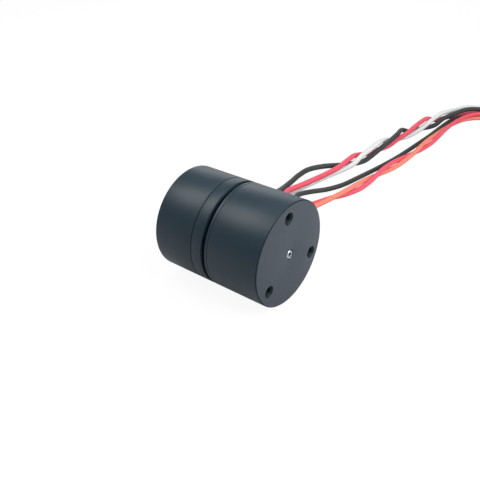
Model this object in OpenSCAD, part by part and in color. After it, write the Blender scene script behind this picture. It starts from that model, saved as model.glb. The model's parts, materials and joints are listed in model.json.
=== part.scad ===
// Small brushless gimbal motor with an encoder, lying on its side.
// The origin is the centre of the rear mounting face, +X runs along the shaft to the rotor,
// +Z is up and the six leads leave on the +Y side.

/* [Motor] */
// Outside diameter of the rear cover, the stator base and the rotor bell
motor_d = 25; // [24.8:0.2:27]
// Length of the rear cover
cover_len = 10.8; // [10.6:0.1:12]
// Thickness of the stator base between the cover and the running gap
base_t = 3.05; // [2.9:0.05:4]
// Open gap between the stator base and the rotor bell
running_gap = 0.7; // [0.4:0.05:1]
// Length of the rotor bell
bell_len = 14.15; // [13.8:0.05:16]
// Bevel on the edges of the running gap and of the rotor face
edge_bevel = 0.2; // [0.1:0.05:0.4]
// Bevel on both sides of the seam between the cover and the base
seam_bevel = 0.12; // [0.05:0.01:0.3]

/* [Rear cover] */
// Thickness of the rear wall
cover_wall_t = 2.5; // [2:0.1:3]
// Thickness of the round side wall
cover_side_t = 1.25; // [1:0.05:1.5]
// Pitch circle of the four rear mounting holes
rear_pcd = 12; // [10:0.5:13]
// Number of rear mounting holes
rear_holes = 4; // [2:1:4]
// Thread diameter of the mounting holes, rear and front
mount_thread_d = 2.5; // [2:0.1:3]
// Pitch radius of the three cover screws
cover_screw_pitch_r = 9; // [8.8:0.05:9.1]
// Thread diameter of the cover screws
cover_screw_d = 2; // [1.6:0.1:2.2]
// Length of a cover screw, head included
cover_screw_len = 12; // [11.5:0.25:12.5]

/* [Rotor] */
// Thickness of the bell's round wall
bell_side_t = 1; // [0.8:0.05:1.1]
// Thickness of the bell's end wall
bell_wall_t = 2.5; // [2:0.1:3]
// Pitch circle of the three holes in the rotor face
face_pcd = 19; // [18:0.25:20]
// Direction of the first hole, from +Y towards +Z
face_first_angle = 97; // [0:1:119]
// Width of the countersink at the mouth of each hole
face_hole_mouth_d = 2.95; // [2.6:0.05:3.3]
// Diameter of the shaft
shaft_d = 2; // [1.9:0.05:2.1]
// Radial thickness of the flux ring
flux_ring_t = 0.8; // [0.6:0.05:0.9]
// Number of magnets
magnet_count = 14; // [10:2:16]
// Radial thickness of a magnet
magnet_t = 1.1; // [0.9:0.05:1.2]
// Length of a magnet along the shaft
magnet_len = 8; // [6:0.25:8.5]
// Clear gap between two neighbouring magnets
magnet_spacing = 0.4; // [0.2:0.05:0.8]

/* [Stator] */
// Gap between the magnets and the teeth
air_gap = 0.25; // [0.2:0.05:0.35]
// Height of the lamination stack along the shaft
core_len = 6; // [5:0.25:6.5]
// Outside diameter of the bearing tube that carries the core
tube_d = 8; // [7.8:0.1:8.4]
// Width of a tooth
tooth_w = 1.8; // [1.5:0.1:1.9]
// Thickness of the insulator on each end of the core
insulator_t = 0.5; // [0.3:0.05:0.6]
// How far the coils stand out from an insulator
coil_end_t = 1.2; // [0.8:0.1:1.3]

/* [Bearings] */
// Outside diameter of both ball bearings
bearing_d = 6; // [5.9:0.05:6.2]
// Width of both ball bearings
bearing_w = 3; // [2.8:0.05:3.1]
// Diameter of a ball
ball_d = 1.2; // [1.1:0.02:1.24]
// Number of balls in a bearing
ball_count = 7; // [6:1:7]

/* [Encoder] */
// Thickness of the encoder board
board_t = 1; // [0.8:0.1:1.2]
// Height of the posts that carry the board off the rear wall
board_post_h = 2.1; // [1.8:0.1:2.3]
// Diameter of the round magnet on the rear end of the shaft
encoder_magnet_d = 6; // [4:0.25:6.2]
// Length of that magnet
encoder_magnet_len = 2.5; // [2:0.1:2.7]
// Side of the square encoder chip
chip_side = 4; // [3:0.25:5]

/* [Leads] */
// Diameter of a phase lead
phase_lead_d = 1.7; // [1.5:0.05:1.75]
// Diameter of an encoder lead
encoder_lead_d = 1.5; // [1.2:0.05:1.5]
// Distance of the lead row from the rear face
exit_x = 6.35; // [6.35:0.05:6.6]
// Spacing of the phase leads in the grommet
phase_spacing = 1.95; // [1.9:0.05:2.05]
// Spacing of the encoder leads in the grommet
encoder_spacing = 1.65; // [1.6:0.05:1.75]

/* [Connectors] */
// Pin spacing of the phase connector
phase_pitch = 2.54; // [2.5:0.01:2.6]
// Length of the phase connector
phase_housing_len = 14; // [12:0.5:15]
// Pin spacing of the encoder connector
encoder_pitch = 2.5; // [2.4:0.05:2.6]
// Length of the encoder connector
encoder_housing_len = 9.8; // [9:0.2:12]
// Height of the encoder connector
encoder_housing_h = 5.75; // [5:0.25:6.5]

/* [Hidden] */
$fn = 96;
overrun = 1;
fit = 0.01;
slide_fit = 0.05;
motor_r = motor_d / 2;
floor_z = -motor_r;

// Places along the shaft
base_from = cover_len;
base_to = base_from + base_t;
bell_from = base_to + running_gap;
bell_to = bell_from + bell_len;
bell_wall_in = bell_to - bell_wall_t;
cover_inner_r = motor_r - cover_side_t;
bell_inner_r = motor_r - bell_side_t;

// Bearings and shaft
bearing_r = bearing_d / 2;
shaft_r = shaft_d / 2;
rear_bearing_inset = 1.2;
front_bearing_inset = 1.7;
rear_bearing_from = base_from + rear_bearing_inset;
rear_bearing_to = rear_bearing_from + bearing_w;
front_bearing_to = bell_wall_in - front_bearing_inset;
front_bearing_from = front_bearing_to - bearing_w;
bearing_lip = 0.5;
ball_r = ball_d / 2;
ball_pitch_r = (shaft_r + bearing_r) / 2;
groove_r = ball_r + 0.02 * ball_d;
shoulder_share = 0.2;
inner_shoulder_r = ball_pitch_r - ball_r + shoulder_share * ball_d;
outer_shoulder_r = ball_pitch_r + ball_r - shoulder_share * ball_d;
cage_gap = 0.16;
cage_pocket_gap = 0.04;
cage_len_share = 0.56;
shield_t = 0.12;
shield_inset = 0.12;
shim_r = 1.75;
front_shim_t = 0.4;
rear_shim_t = 0.2;
clip_t = 0.4;
clip_r = 2.2;
clip_opening_share = 0.7;
hub_r = 2.2;
hub_from = front_bearing_to + front_shim_t;
shaft_recess = 0.1;
shaft_centre_d = 0.9;
shaft_centre_depth = 0.6;
shaft_mouth_bevel = 0.25;
face_mouth_depth = 0.22;
bell_line_from = 0.8;
bell_line_w = 0.12;
bell_line_depth = 0.06;

// Stator and magnets
core_shoulder_len = 2.65;
core_from = base_to + core_shoulder_len + insulator_t;
core_to = core_from + core_len;
core_mid = (core_from + core_to) / 2;
tube_r = tube_d / 2;
tube_shoulder_r = tube_r + bearing_lip;
yoke_t = 1.6;
yoke_r = tube_r + yoke_t;
flux_ring_outer_r = bell_inner_r - fit;
flux_ring_inner_r = flux_ring_outer_r - flux_ring_t;
flux_ring_overhang = 0.8;
magnet_outer_r = flux_ring_inner_r - fit;
magnet_inner_r = magnet_outer_r - magnet_t;
core_r = magnet_inner_r - air_gap;
shoe_t = 0.75;
slot_opening = 0.9;
tooth_count = 12;
tooth_step = 360 / tooth_count;
liner_t = 0.23;
coil_inner_gap = 0.3;
coil_outer_gap = 0.3;
coil_side_gap = 0.05;
coil_from_r = yoke_r + coil_inner_gap;
coil_to_r = core_r - shoe_t - coil_outer_gap;
tail_r = 0.22;
tail_knot_r = 0.36;
tail_knot_reach = 0.3;
// Tooth, or place between two teeth, on which the tail of each phase lands
tail_teeth = [0.25, 2, 11];

// Cover screws
cover_boss_r = 2.1;
cover_screw_angles = [60, 180, 300];
cover_screw_head_r = 0.95 * cover_screw_d;
cover_screw_head_h = 0.6 * cover_screw_d;
cover_screw_sink = 0.05;
cover_screw_clear = 0.08;
screw_root = 0.12;
tap_len = 2;
screw_drive_share = 0.45;
screw_drive_depth = 0.6 * cover_screw_head_h;
spigot_len = 1.2;
spigot_t = 0.9;
spigot_screw_gap = 0.25;

// Encoder board
board_from = cover_wall_t + board_post_h;
board_to = board_from + board_t;
board_gap = 0.95;
board_r = cover_inner_r - board_gap;
board_notch_y = 7;
board_notch_half = 5.8;
board_boss_gap = 0.4;
board_post_r = 1.5;
board_post_pitch_r = 8.6;
board_post_near_r = 4.9;
board_post_places = [[0, board_post_near_r], [120, board_post_pitch_r], [240, board_post_pitch_r]];
board_screw_r = 0.8;
board_screw_head_r = 1.4;
board_screw_head_h = 0.9;
board_screw_len = 1.6;
chip_h = 0.9;
chip_lead_w = 0.3;
chip_lead_reach = 0.9;
chip_lead_t = 0.15;
small_part_l = 1.6;
small_part_w = 0.8;
small_part_h = 0.6;
// Direction, share of the board's radius, and turn of each small board part
small_part_shares = [
    [75, 0.64, 0], [95, 0.64, 0], [150, 0.62, 90], [200, 0.63, 90], [215, 0.81, 0], [270, 0.64, 0], [322, 0.6, 0]
];

// Magnet holder on the rear end of the shaft
sensor_gap = 0.8;
encoder_magnet_from = board_to + chip_h + sensor_gap;
encoder_magnet_to = encoder_magnet_from + encoder_magnet_len;
encoder_magnet_r = encoder_magnet_d / 2;
shaft_from = encoder_magnet_to;
holder_wall_t = 0.7;
holder_boss_r = 2;
holder_boss_len = 0.35;
holder_web_t = 0.7;
magnet_proud = 0.3;
holder_web_from = encoder_magnet_to + fit;
holder_to = holder_web_from + holder_web_t + holder_boss_len;

// Lead row through the grommet
phase_row_z = 1.75;
encoder_row_z = -3.75;
phase_lead_r = phase_lead_d / 2;
encoder_lead_r = encoder_lead_d / 2;
lead_y = 7.35;
lead_bend_r = 3.4;
lead_run_out = 1.8;
lead_slot_gap = 0.25;
joint_inset = 1.4;
joint_from = base_from + joint_inset;
joint_len = 2.4;
joint_r = 0.95;
encoder_pad_y = 6.5;
grommet_w = 3.2;
grommet_half = 5.8;
grommet_z = -0.75;
grommet_lip = 0.5;
grommet_lip_t = 0.5;
grommet_bore_gap = 0.03;
grommet_outer_y = motor_r + grommet_lip_t;

// Free lead routes. Each point is a place along the shaft, a distance away from the axis
// and a height above the table.
phase_black_route = [
    [5.8, 18, 15.1], [4.7, 22.5, 12.3], [3.2, 28, 8.4], [0.9, 35, 5.2], [-1.6, 42, 2.9],
    [-2.7, 48, 2.4], [-3.7, 54, 2.2], [-3.8, 60, 2.0], [-1.6, 66, 1.6], [2.1, 72, 1.0], [5.8, 78, 1.0],
    [6.1, 84, 1.0], [6.8, 90, 2.3], [7.2, 96, 3.2], [7.2, 102, 4.0], [6.1, 108, 3.4], [6.7, 114, 1.2],
    [8.8, 120, 1.0], [11.5, 126, 1.1], [12.6, 132, 2.4], [14.8, 138, 3.3], [17.4, 144, 3.9],
    [21.4, 149.4, 3.3], [25.8, 154.6, 2.0]
];
phase_red_route = [
    [6.5, 18, 13.2], [6.4, 22.5, 10.7], [5.2, 28, 7.6], [3.1, 35, 4.8], [0.4, 42, 2.8], [1.3, 48, 2.6],
    [2.3, 54, 2.6], [3.2, 60, 2.6], [3.9, 66, 2.9], [4.1, 72, 3.6], [3.1, 78, 2.6], [4.0, 84, 1.4],
    [5.0, 90, 1.0], [6.6, 96, 1.0], [7.5, 102, 2.0], [8.6, 108, 3.0], [8.8, 114, 3.8], [8.9, 120, 4.1],
    [8.4, 126, 3.2], [9.5, 132, 1.2], [11.6, 138, 1.0], [14.5, 144, 1.0], [18.2, 150.2, 1.0],
    [22.3, 155.8, 1.2]
];
phase_white_route = [
    [5.8, 18, 11.3], [4.6, 22.5, 8.5], [3.9, 28, 5.5], [2.2, 35, 2.7], [-0.5, 42, 1.0], [0.4, 48, 1.0],
    [1.3, 54, 1.0], [2.2, 60, 1.0], [3.4, 66, 1.0], [5.5, 72, 2.0], [5.5, 78, 3.0], [5.7, 84, 3.6],
    [5.8, 90, 4.1], [4.7, 96, 2.7], [5.4, 102, 1.3], [7.9, 108, 1.1], [9.4, 114, 1.6], [10.1, 120, 2.4],
    [10.6, 126, 3.4], [11.3, 132, 4.1], [12.2, 138, 3.6], [12.9, 144, 2.7], [15.0, 150.4, 2.5],
    [19.2, 156.9, 1.4]
];
encoder_black_route = [
    [6.5, 17.4, 9.9], [6.8, 21.5, 7.8], [7.0, 27, 5.9], [6.0, 34, 4.3], [4.8, 41, 3.2], [5.3, 47, 1.9],
    [7.4, 53, 1.0], [9.4, 59, 0.8], [10.6, 66, 0.8], [11.8, 74, 0.8], [12.8, 82, 0.8], [13.5, 90, 0.8],
    [13.8, 98, 0.8], [14.0, 106, 0.8], [14.2, 115, 0.8], [14.1, 124, 0.8], [14.1, 133, 0.8],
    [14.9, 140, 0.8], [17.7, 145.4, 0.8], [22.0, 149.4, 0.8], [26.8, 152.4, 1.0]
];
// The red and the orange encoder lead wind round each other: place, height and turn of the pair
encoder_pair_route = [
    [6.5, 17.4, 7.2, 92], [7.2, 21.5, 5.0, 104], [8.3, 27, 3.7, 120], [9.8, 34, 2.7, 150],
    [10.8, 41, 2.0, 190], [12.1, 48, 1.7, 215], [13.6, 54, 1.6, 260], [14.6, 60, 1.6, 310],
    [14.9, 66, 1.6, 365], [15.1, 73, 1.6, 425], [15.9, 80, 1.6, 485], [16.5, 87, 1.6, 535],
    [16.9, 94, 1.6, 580], [17.1, 101, 1.6, 630], [17.2, 108, 1.6, 680], [17.0, 115, 1.6, 725],
    [16.7, 122, 1.6, 750], [16.8, 129, 1.6, 765], [17.4, 135, 1.6, 775], [18.6, 140.5, 1.6, 790],
    [21.2, 145.2, 1.6, 820], [25.4, 148.2, 1.6, 860], [30.6, 150.7, 2.0, 900]
];
pair_r = 0.82;
route_steps = 2;
tube_sides = 8;

// Connectors: where the leads enter, and the heading of the connector on the table
phase_plug_place = [41, 168];
phase_plug_heading = 38;
encoder_plug_place = [46, 158.5];
encoder_plug_heading = 28;
plug_straight = 4;
plug_fan = 9;
fan_share = 0.85;
phase_housing_h = 2.54;
plug_side_t = 0.27;
plug_front_t = 1;
pin_hole_w = 0.9;
crimp_inset = 2.6;
contact_gap = 0.1;
window_l = 2;
window_w = 1;
encoder_housing_side = 2.4;
encoder_cavity_w = 1.9;
encoder_cavity_h = 2.4;
rib_w = 1;
rib_h = 0.5;

// Turn a piece drawn upright so that its height runs along the shaft
module on_axis() {
    rotate([90, 0, 90]) children();
}

// Solid round, from one place along the shaft to another
module rod(from, to, r) {
    translate([0, 0, from]) cylinder(h = to - from, r = r);
}

// Ring about the shaft, from one place along it to another
module ring(from, to, outer_r, inner_r) {
    difference() {
        rod(from, to, outer_r);
        rod(from - overrun, to + overrun, inner_r);
    }
}

// Children repeated at a list of directions, at one distance from the shaft
module around(angles, r) {
    for (a = angles) rotate([0, 0, a]) translate([r, 0, 0]) children();
}

// Block that is centred across its width
module bar(from, to, near, far, w) {
    translate([near, -w / 2, from]) cube([far - near, w, to - from]);
}

module rear_cover() {
    outline = [
        [0, 0], [motor_r - edge_bevel, 0], [motor_r, edge_bevel], [motor_r, cover_len - seam_bevel],
        [motor_r - seam_bevel, cover_len], [cover_inner_r, cover_len], [cover_inner_r, cover_wall_t],
        [0, cover_wall_t]
    ];
    color("#3c4349") on_axis() difference() {
        union() {
            rotate_extrude() polygon(outline);
            around(cover_screw_angles, cover_screw_pitch_r)
                rod(cover_wall_t - fit, cover_len, cover_boss_r);
            for (p = board_post_places) around([p[0]], p[1])
                rod(cover_wall_t - fit, board_from, board_post_r);
        }
        around(cover_screw_angles, cover_screw_pitch_r) {
            rod(-overrun, cover_len + overrun, cover_screw_d / 2 + cover_screw_clear);
            translate([0, 0, -fit]) cylinder(
                h = cover_screw_head_h + cover_screw_sink,
                r1 = cover_screw_head_r + cover_screw_clear,
                r2 = cover_screw_d / 2 + cover_screw_clear
            );
        }
        around([for (i = [0 : rear_holes - 1]) (i + 0.5) * 360 / rear_holes], rear_pcd / 2) {
            rod(-overrun, cover_wall_t + overrun, mount_thread_d / 2);
            translate([0, 0, -fit]) cylinder(
                h = face_mouth_depth + fit,
                r1 = face_hole_mouth_d / 2,
                r2 = mount_thread_d / 2
            );
        }
        for (p = board_post_places) around([p[0]], p[1])
            rod(board_from - board_screw_len, board_from + overrun, board_screw_r);
        grommet_opening(0, lead_y, motor_r + overrun);
    }
}

// Oval opening for the grommet, drawn upright: grow widens it, and it runs from one distance
// from the shaft to another
module grommet_opening(grow, near, far) {
    half_w = grommet_w / 2 + grow;
    straight = grommet_half - grommet_w / 2;
    translate([near, grommet_z - straight, exit_x - half_w]) cube([far - near, 2 * straight, 2 * half_w]);
    for (side = [-1, 1]) translate([near, grommet_z + side * straight, exit_x]) rotate([0, 90, 0])
        cylinder(h = far - near, r = half_w);
}

module stator_base() {
    outline = [
        [bearing_r + fit, base_from], [motor_r - seam_bevel, base_from],
        [motor_r, base_from + seam_bevel], [motor_r, base_to - edge_bevel],
        [motor_r - edge_bevel, base_to], [tube_shoulder_r, base_to],
        [tube_shoulder_r, core_from - insulator_t], [tube_r, core_from - insulator_t],
        [tube_r, front_bearing_to], [bearing_r + fit, front_bearing_to],
        [bearing_r + fit, front_bearing_from], [bearing_r - bearing_lip, front_bearing_from],
        [bearing_r - bearing_lip, rear_bearing_to], [bearing_r + fit, rear_bearing_to]
    ];
    spigot_r = cover_inner_r - slide_fit;
    color("#3c4349") on_axis() difference() {
        union() {
            rotate_extrude() polygon(outline);
            difference() {
                ring(base_from - spigot_len, base_from + fit, spigot_r, spigot_r - spigot_t);
                around(cover_screw_angles, cover_screw_pitch_r)
                    rod(base_from - spigot_len - overrun, base_from, cover_boss_r + spigot_screw_gap);
            }
        }
        around(cover_screw_angles, cover_screw_pitch_r)
            rod(base_from - overrun, base_from + tap_len, cover_screw_d / 2);
        lead_slot();
    }
}

// Opening in the base through which the phase leads reach the windings
module lead_slot() {
    half_y = phase_lead_r + lead_slot_gap;
    half_z = phase_spacing + phase_lead_r + lead_slot_gap;
    translate([lead_y - half_y, phase_row_z - half_z, base_from - spigot_len - overrun])
        cube([2 * half_y, 2 * half_z, base_t + spigot_len + 2 * overrun]);
}

module rotor_bell() {
    shaft_bore_r = shaft_r + fit;
    outline = [
        [shaft_bore_r, hub_from], [hub_r, hub_from], [hub_r, bell_wall_in], [bell_inner_r, bell_wall_in],
        [bell_inner_r, bell_from], [motor_r - edge_bevel, bell_from], [motor_r, bell_from + edge_bevel],
        [motor_r, bell_from + bell_line_from],
        [motor_r - bell_line_depth, bell_from + bell_line_from + bell_line_w / 2],
        [motor_r, bell_from + bell_line_from + bell_line_w],
        [motor_r, bell_to - edge_bevel], [motor_r - edge_bevel, bell_to],
        [shaft_bore_r + shaft_mouth_bevel, bell_to], [shaft_bore_r, bell_to - shaft_mouth_bevel]
    ];
    color("#3c4349") on_axis() difference() {
        rotate_extrude() polygon(outline);
        around([for (i = [0 : 2]) face_first_angle + 120 * i], face_pcd / 2) {
            rod(bell_wall_in - overrun, bell_to + overrun, mount_thread_d / 2);
            translate([0, 0, bell_to - face_mouth_depth]) cylinder(
                h = face_mouth_depth + fit,
                r1 = mount_thread_d / 2,
                r2 = face_hole_mouth_d / 2
            );
        }
    }
}

module flux_ring() {
    color("#8d9196") on_axis() ring(
        core_mid - magnet_len / 2 - flux_ring_overhang,
        core_mid + magnet_len / 2 + flux_ring_overhang,
        flux_ring_outer_r,
        flux_ring_inner_r
    );
}

module magnet(i) {
    half_angle = 180 / magnet_count - asin(magnet_spacing / 2 / magnet_inner_r);
    reach = magnet_outer_r + overrun;
    from = core_mid - magnet_len / 2;
    wedge = [[0, 0], [reach, -reach * tan(half_angle)], [reach, reach * tan(half_angle)]];
    color("#b9bcc0") on_axis() rotate([0, 0, (i - 1) * 360 / magnet_count]) intersection() {
        ring(from, from + magnet_len, magnet_outer_r, magnet_inner_r);
        translate([0, 0, from - overrun]) linear_extrude(height = magnet_len + 2 * overrun) polygon(wedge);
    }
}

module shaft() {
    color("#d5d7da") on_axis() difference() {
        rod(shaft_from, bell_to - shaft_recess, shaft_r);
        rod(bell_to - shaft_recess - shaft_centre_depth, bell_to, shaft_centre_d / 2);
    }
}

module retaining_clip() {
    clip_from = rear_bearing_from - rear_shim_t - clip_t;
    color("#5c6066") on_axis() difference() {
        ring(clip_from, clip_from + clip_t, clip_r, shaft_r + fit);
        bar(clip_from - overrun, clip_from + clip_t + overrun, 0, clip_r + overrun, clip_opening_share * shaft_d);
    }
}

module front_shim() {
    color("#c9b46a") on_axis() ring(front_bearing_to, hub_from, shim_r, shaft_r + fit);
}

module rear_shim() {
    color("#c9b46a") on_axis() ring(rear_bearing_from - rear_shim_t, rear_bearing_from, shim_r, shaft_r + fit);
}

module stator_core() {
    shoe_w = 2 * PI * core_r / tooth_count - slot_opening;
    color("#767b82") on_axis() {
        ring(core_from, core_to, yoke_r, tube_r + fit);
        for (i = [0 : tooth_count - 1]) rotate([0, 0, i * tooth_step]) {
            bar(core_from, core_to, yoke_r - yoke_t / 4, core_r - shoe_t / 2, tooth_w);
            intersection() {
                ring(core_from, core_to, core_r, core_r - shoe_t);
                bar(core_from, core_to, core_r - 2 * shoe_t, core_r + overrun, shoe_w);
            }
        }
    }
}

// Plastic end piece of the core: a plate over the yoke and the teeth, and liners along them
module insulator(plate_from, liner_to_front) {
    plate_to = plate_from + insulator_t;
    liner_from = liner_to_front ? core_mid : plate_from;
    liner_to = liner_to_front ? plate_to : core_mid;
    liner_w = tooth_w + 2 * liner_t;
    liner_to_r = sqrt(pow(core_r - shoe_t, 2) - pow(liner_w / 2, 2)) - fit;
    ring(plate_from, plate_to, yoke_r, tube_r + fit);
    for (i = [0 : tooth_count - 1]) rotate([0, 0, i * tooth_step]) difference() {
        bar(liner_from, liner_to, yoke_r - coil_inner_gap, liner_to_r, liner_w);
        bar(core_from - fit, core_to + fit, tube_r, core_r, tooth_w + 2 * fit);
        bar(core_from - fit, core_to + fit, tube_r, yoke_r + fit, liner_w + overrun);
    }
}

module insulator_front() {
    color("#e8e6df") on_axis() insulator(core_to, true);
}

module insulator_rear() {
    color("#e8e6df") on_axis() insulator(core_from - insulator_t, false);
}

// Coil wound round one tooth, filling its half of the slots on both sides
module coil(i) {
    from = core_from - insulator_t - coil_end_t;
    to = core_to + insulator_t + coil_end_t;
    window_w = tooth_w + 2 * liner_t + 2 * fit;
    near_w = coil_from_r * tan(tooth_step / 2) - coil_side_gap;
    far_w = coil_to_r * tan(tooth_step / 2) - coil_side_gap;
    side = [[coil_from_r, -near_w], [coil_to_r, -far_w], [coil_to_r, far_w], [coil_from_r, near_w]];
    rotate([0, 0, i * tooth_step]) difference() {
        translate([0, 0, from]) linear_extrude(height = to - from) polygon(side);
        bar(core_from - insulator_t - fit, core_to + insulator_t + fit, 0, core_r, window_w);
    }
}

// Four coils of one phase, and the bare tail that runs to its lead
module winding(teeth, tail_tooth, lead) {
    tail_from = joint_from + joint_len;
    coil_end_from = core_from - insulator_t - coil_end_t;
    tail_x = (tail_from + coil_end_from) / 2;
    landing_r = coil_to_r - 2 * tail_r;
    landing_angle = tail_tooth * tooth_step;
    start = [lead_y, lead_place(lead), tail_x];
    landing = [landing_r * cos(landing_angle), landing_r * sin(landing_angle), tail_x];
    color("#b8713a") on_axis() {
        for (i = teeth) coil(i);
        stick(start, landing, tail_r);
        translate([start[0], start[1], tail_from]) cylinder(h = tail_x + tail_knot_reach - tail_from, r = tail_knot_r);
        translate([landing[0], landing[1], tail_x - tail_knot_reach])
            cylinder(h = coil_end_from - tail_x + 2 * tail_knot_reach, r = tail_knot_r);
    }
}

// Straight round piece between two places
module stick(a, b, r) {
    d = b - a;
    translate(a) rotate([0, acos(d[2] / norm(d)), atan2(d[1], d[0])]) cylinder(h = norm(d), r = r);
}

function lead_place(lead) = phase_row_z + lead * phase_spacing;

module winding_phase_a() {
    winding([0, 1, 6, 7], tail_teeth[0], 0);
}

module winding_phase_b() {
    winding([2, 3, 8, 9], tail_teeth[1], 1);
}

module winding_phase_c() {
    winding([4, 5, 10, 11], tail_teeth[2], -1);
}

module winding_joints() {
    color("#2b2d30") on_axis() for (lead = [-1 : 1])
        translate([lead_y, lead_place(lead), joint_from]) cylinder(h = joint_len, r = joint_r);
}

module cover_screws() {
    root_r = cover_screw_d / 2 - screw_root;
    drive_r = screw_drive_share * cover_screw_d;
    color("#2f3236") on_axis() around(cover_screw_angles, cover_screw_pitch_r) difference() {
        union() {
            translate([0, 0, cover_screw_sink])
                cylinder(h = cover_screw_head_h, r1 = cover_screw_head_r, r2 = cover_screw_d / 2);
            rod(cover_screw_sink + cover_screw_head_h - fit, base_from, cover_screw_d / 2);
            rod(base_from - fit, cover_screw_len, root_r);
        }
        translate([0, 0, cover_screw_sink - fit]) cylinder(h = screw_drive_depth, r = drive_r, $fn = 6);
    }
}

module board_screws() {
    color("#9a9ea3") on_axis() for (p = board_post_places) around([p[0]], p[1]) difference() {
        union() {
            rod(board_to, board_to + board_screw_head_h, board_screw_head_r);
            rod(board_from - board_screw_len + slide_fit, board_to + fit, board_screw_r - fit);
        }
        for (turn = [0, 90]) rotate([0, 0, turn])
            bar(board_to + board_screw_head_h / 2, board_to + 2 * board_screw_head_h,
                -board_screw_r, board_screw_r, board_screw_r / 3);
    }
}

module encoder_board() {
    color("#1f5c46") on_axis() difference() {
        rod(board_from, board_to, board_r);
        around(cover_screw_angles, cover_screw_pitch_r)
            rod(board_from - overrun, board_to + overrun, cover_boss_r + board_boss_gap);
        bar(board_from - overrun, board_to + overrun, board_notch_y, board_r + overrun, 2 * board_notch_half);
        for (p = board_post_places) around([p[0]], p[1])
            rod(board_from - overrun, board_to + overrun, board_screw_r);
    }
}

module encoder_chip() {
    lead_step = chip_side / 4;
    color("#26282b") on_axis() {
        bar(board_to, board_to + chip_h, -chip_side / 2, chip_side / 2, chip_side);
        for (side = [-1, 1]) for (k = [-1.5 : 1.5]) translate([
            side * chip_side / 2 - (side < 0 ? chip_lead_reach : 0),
            k * lead_step - chip_lead_w / 2,
            board_to
        ]) cube([chip_lead_reach, chip_lead_w, chip_lead_t]);
    }
}

module board_components() {
    color("#b49a72") on_axis() {
        for (p = small_part_shares) around([p[0]], p[1] * board_r) rotate([0, 0, p[2]])
            bar(board_to, board_to + small_part_h, -small_part_w / 2, small_part_w / 2, small_part_l);
    }
}

module magnet_holder() {
    cup_r = encoder_magnet_r + holder_wall_t;
    color("#c2c5c9") on_axis() difference() {
        union() {
            rod(encoder_magnet_from + magnet_proud, holder_web_from + holder_web_t, cup_r);
            rod(holder_web_from, holder_to, holder_boss_r);
        }
        rod(0, holder_web_from, encoder_magnet_r + fit);
        rod(0, holder_to + overrun, shaft_r + fit);
    }
}

module encoder_magnet() {
    color("#a9adb2") on_axis() rod(encoder_magnet_from, encoder_magnet_to, encoder_magnet_r);
}

// Ring cut out of the grommet's oval, between two distances from the shaft
module grommet_band(grow, inner_r, outer_r) {
    intersection() {
        ring(0, cover_len, outer_r, inner_r);
        grommet_opening(grow, 0, outer_r + overrun);
    }
}

module wire_grommet() {
    color("#1d1f21") on_axis() difference() {
        union() {
            grommet_band(-fit, cover_inner_r - grommet_lip_t, grommet_outer_y);
            grommet_band(grommet_lip, cover_inner_r - grommet_lip_t, cover_inner_r - fit);
            grommet_band(grommet_lip, motor_r + fit, grommet_outer_y);
        }
        for (lead = [-1 : 1]) {
            grommet_bore(lead_place(lead), phase_lead_r);
            grommet_bore(encoder_place(lead), encoder_lead_r);
        }
    }
}

module grommet_bore(z, r) {
    translate([0, z, exit_x]) rotate([0, 90, 0]) cylinder(h = motor_d, r = r + grommet_bore_gap);
}

function encoder_place(lead) = encoder_row_z + lead * encoder_spacing;

// Ball bearings. Each is drawn from its own rear side.
module outer_race() {
    difference() {
        ring(0, bearing_w, bearing_r, outer_shoulder_r);
        ball_groove();
    }
}

module inner_race() {
    difference() {
        ring(0, bearing_w, inner_shoulder_r, shaft_r + fit);
        ball_groove();
    }
}

module ball_groove() {
    rotate_extrude() translate([ball_pitch_r, bearing_w / 2]) circle(r = groove_r, $fn = 48);
}

module balls() {
    around([for (i = [0 : ball_count - 1]) i * 360 / ball_count], ball_pitch_r)
        translate([0, 0, bearing_w / 2]) sphere(r = ball_r, $fn = 48);
}

module cage() {
    cage_len = cage_len_share * bearing_w;
    difference() {
        ring(
            (bearing_w - cage_len) / 2, (bearing_w + cage_len) / 2,
            outer_shoulder_r - cage_gap, inner_shoulder_r + cage_gap
        );
        around([for (i = [0 : ball_count - 1]) i * 360 / ball_count], inner_shoulder_r)
            translate([0, 0, bearing_w / 2]) rotate([0, 90, 0])
                cylinder(h = outer_shoulder_r, r = ball_r + cage_pocket_gap);
    }
}

module shields() {
    for (from = [shield_inset, bearing_w - shield_inset - shield_t])
        ring(from, from + shield_t, outer_shoulder_r - fit, inner_shoulder_r + cage_gap);
}

// One kind of piece in one of the two bearings
module bearing_piece(end, piece) {
    tones = [["outer_race", "#b4b8bd"], ["inner_race", "#b4b8bd"], ["balls", "#dcdfe3"], ["cage", "#a58a52"],
        ["shields", "#9ca0a6"]];
    tone = [for (t = tones) if (t[0] == piece) t[1]][0];
    from = end == "front" ? front_bearing_from : rear_bearing_from;
    color(tone) on_axis() translate([0, 0, from]) {
        if (piece == "outer_race") outer_race();
        if (piece == "inner_race") inner_race();
        if (piece == "balls") balls();
        if (piece == "cage") cage();
        if (piece == "shields") shields();
    }
}

// Smooth curve through hand-chosen points
function curve_point(a, b, c, d, t) = 0.5 * (
    2 * b + (c - a) * t + (2 * a - 5 * b + 4 * c - d) * t * t + (3 * b - a - 3 * c + d) * t * t * t
);
function curve(p) = let (last = len(p) - 1) concat(
    [for (i = [0 : last - 1]) for (k = [0 : route_steps - 1]) curve_point(
        i == 0 ? 2 * p[0] - p[1] : p[i - 1], p[i], p[i + 1],
        i == last - 1 ? 2 * p[last] - p[last - 1] : p[i + 2], k / route_steps
    )],
    [p[last]]
);
function unit(v) = v / norm(v);
function across(p, i) = let (
    ahead = unit(p[min(i + 1, len(p) - 1)] - p[max(i - 1, 0)]),
    side = unit(cross(ahead, [0, 0, 1]))
) [side, cross(side, ahead)];

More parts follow.
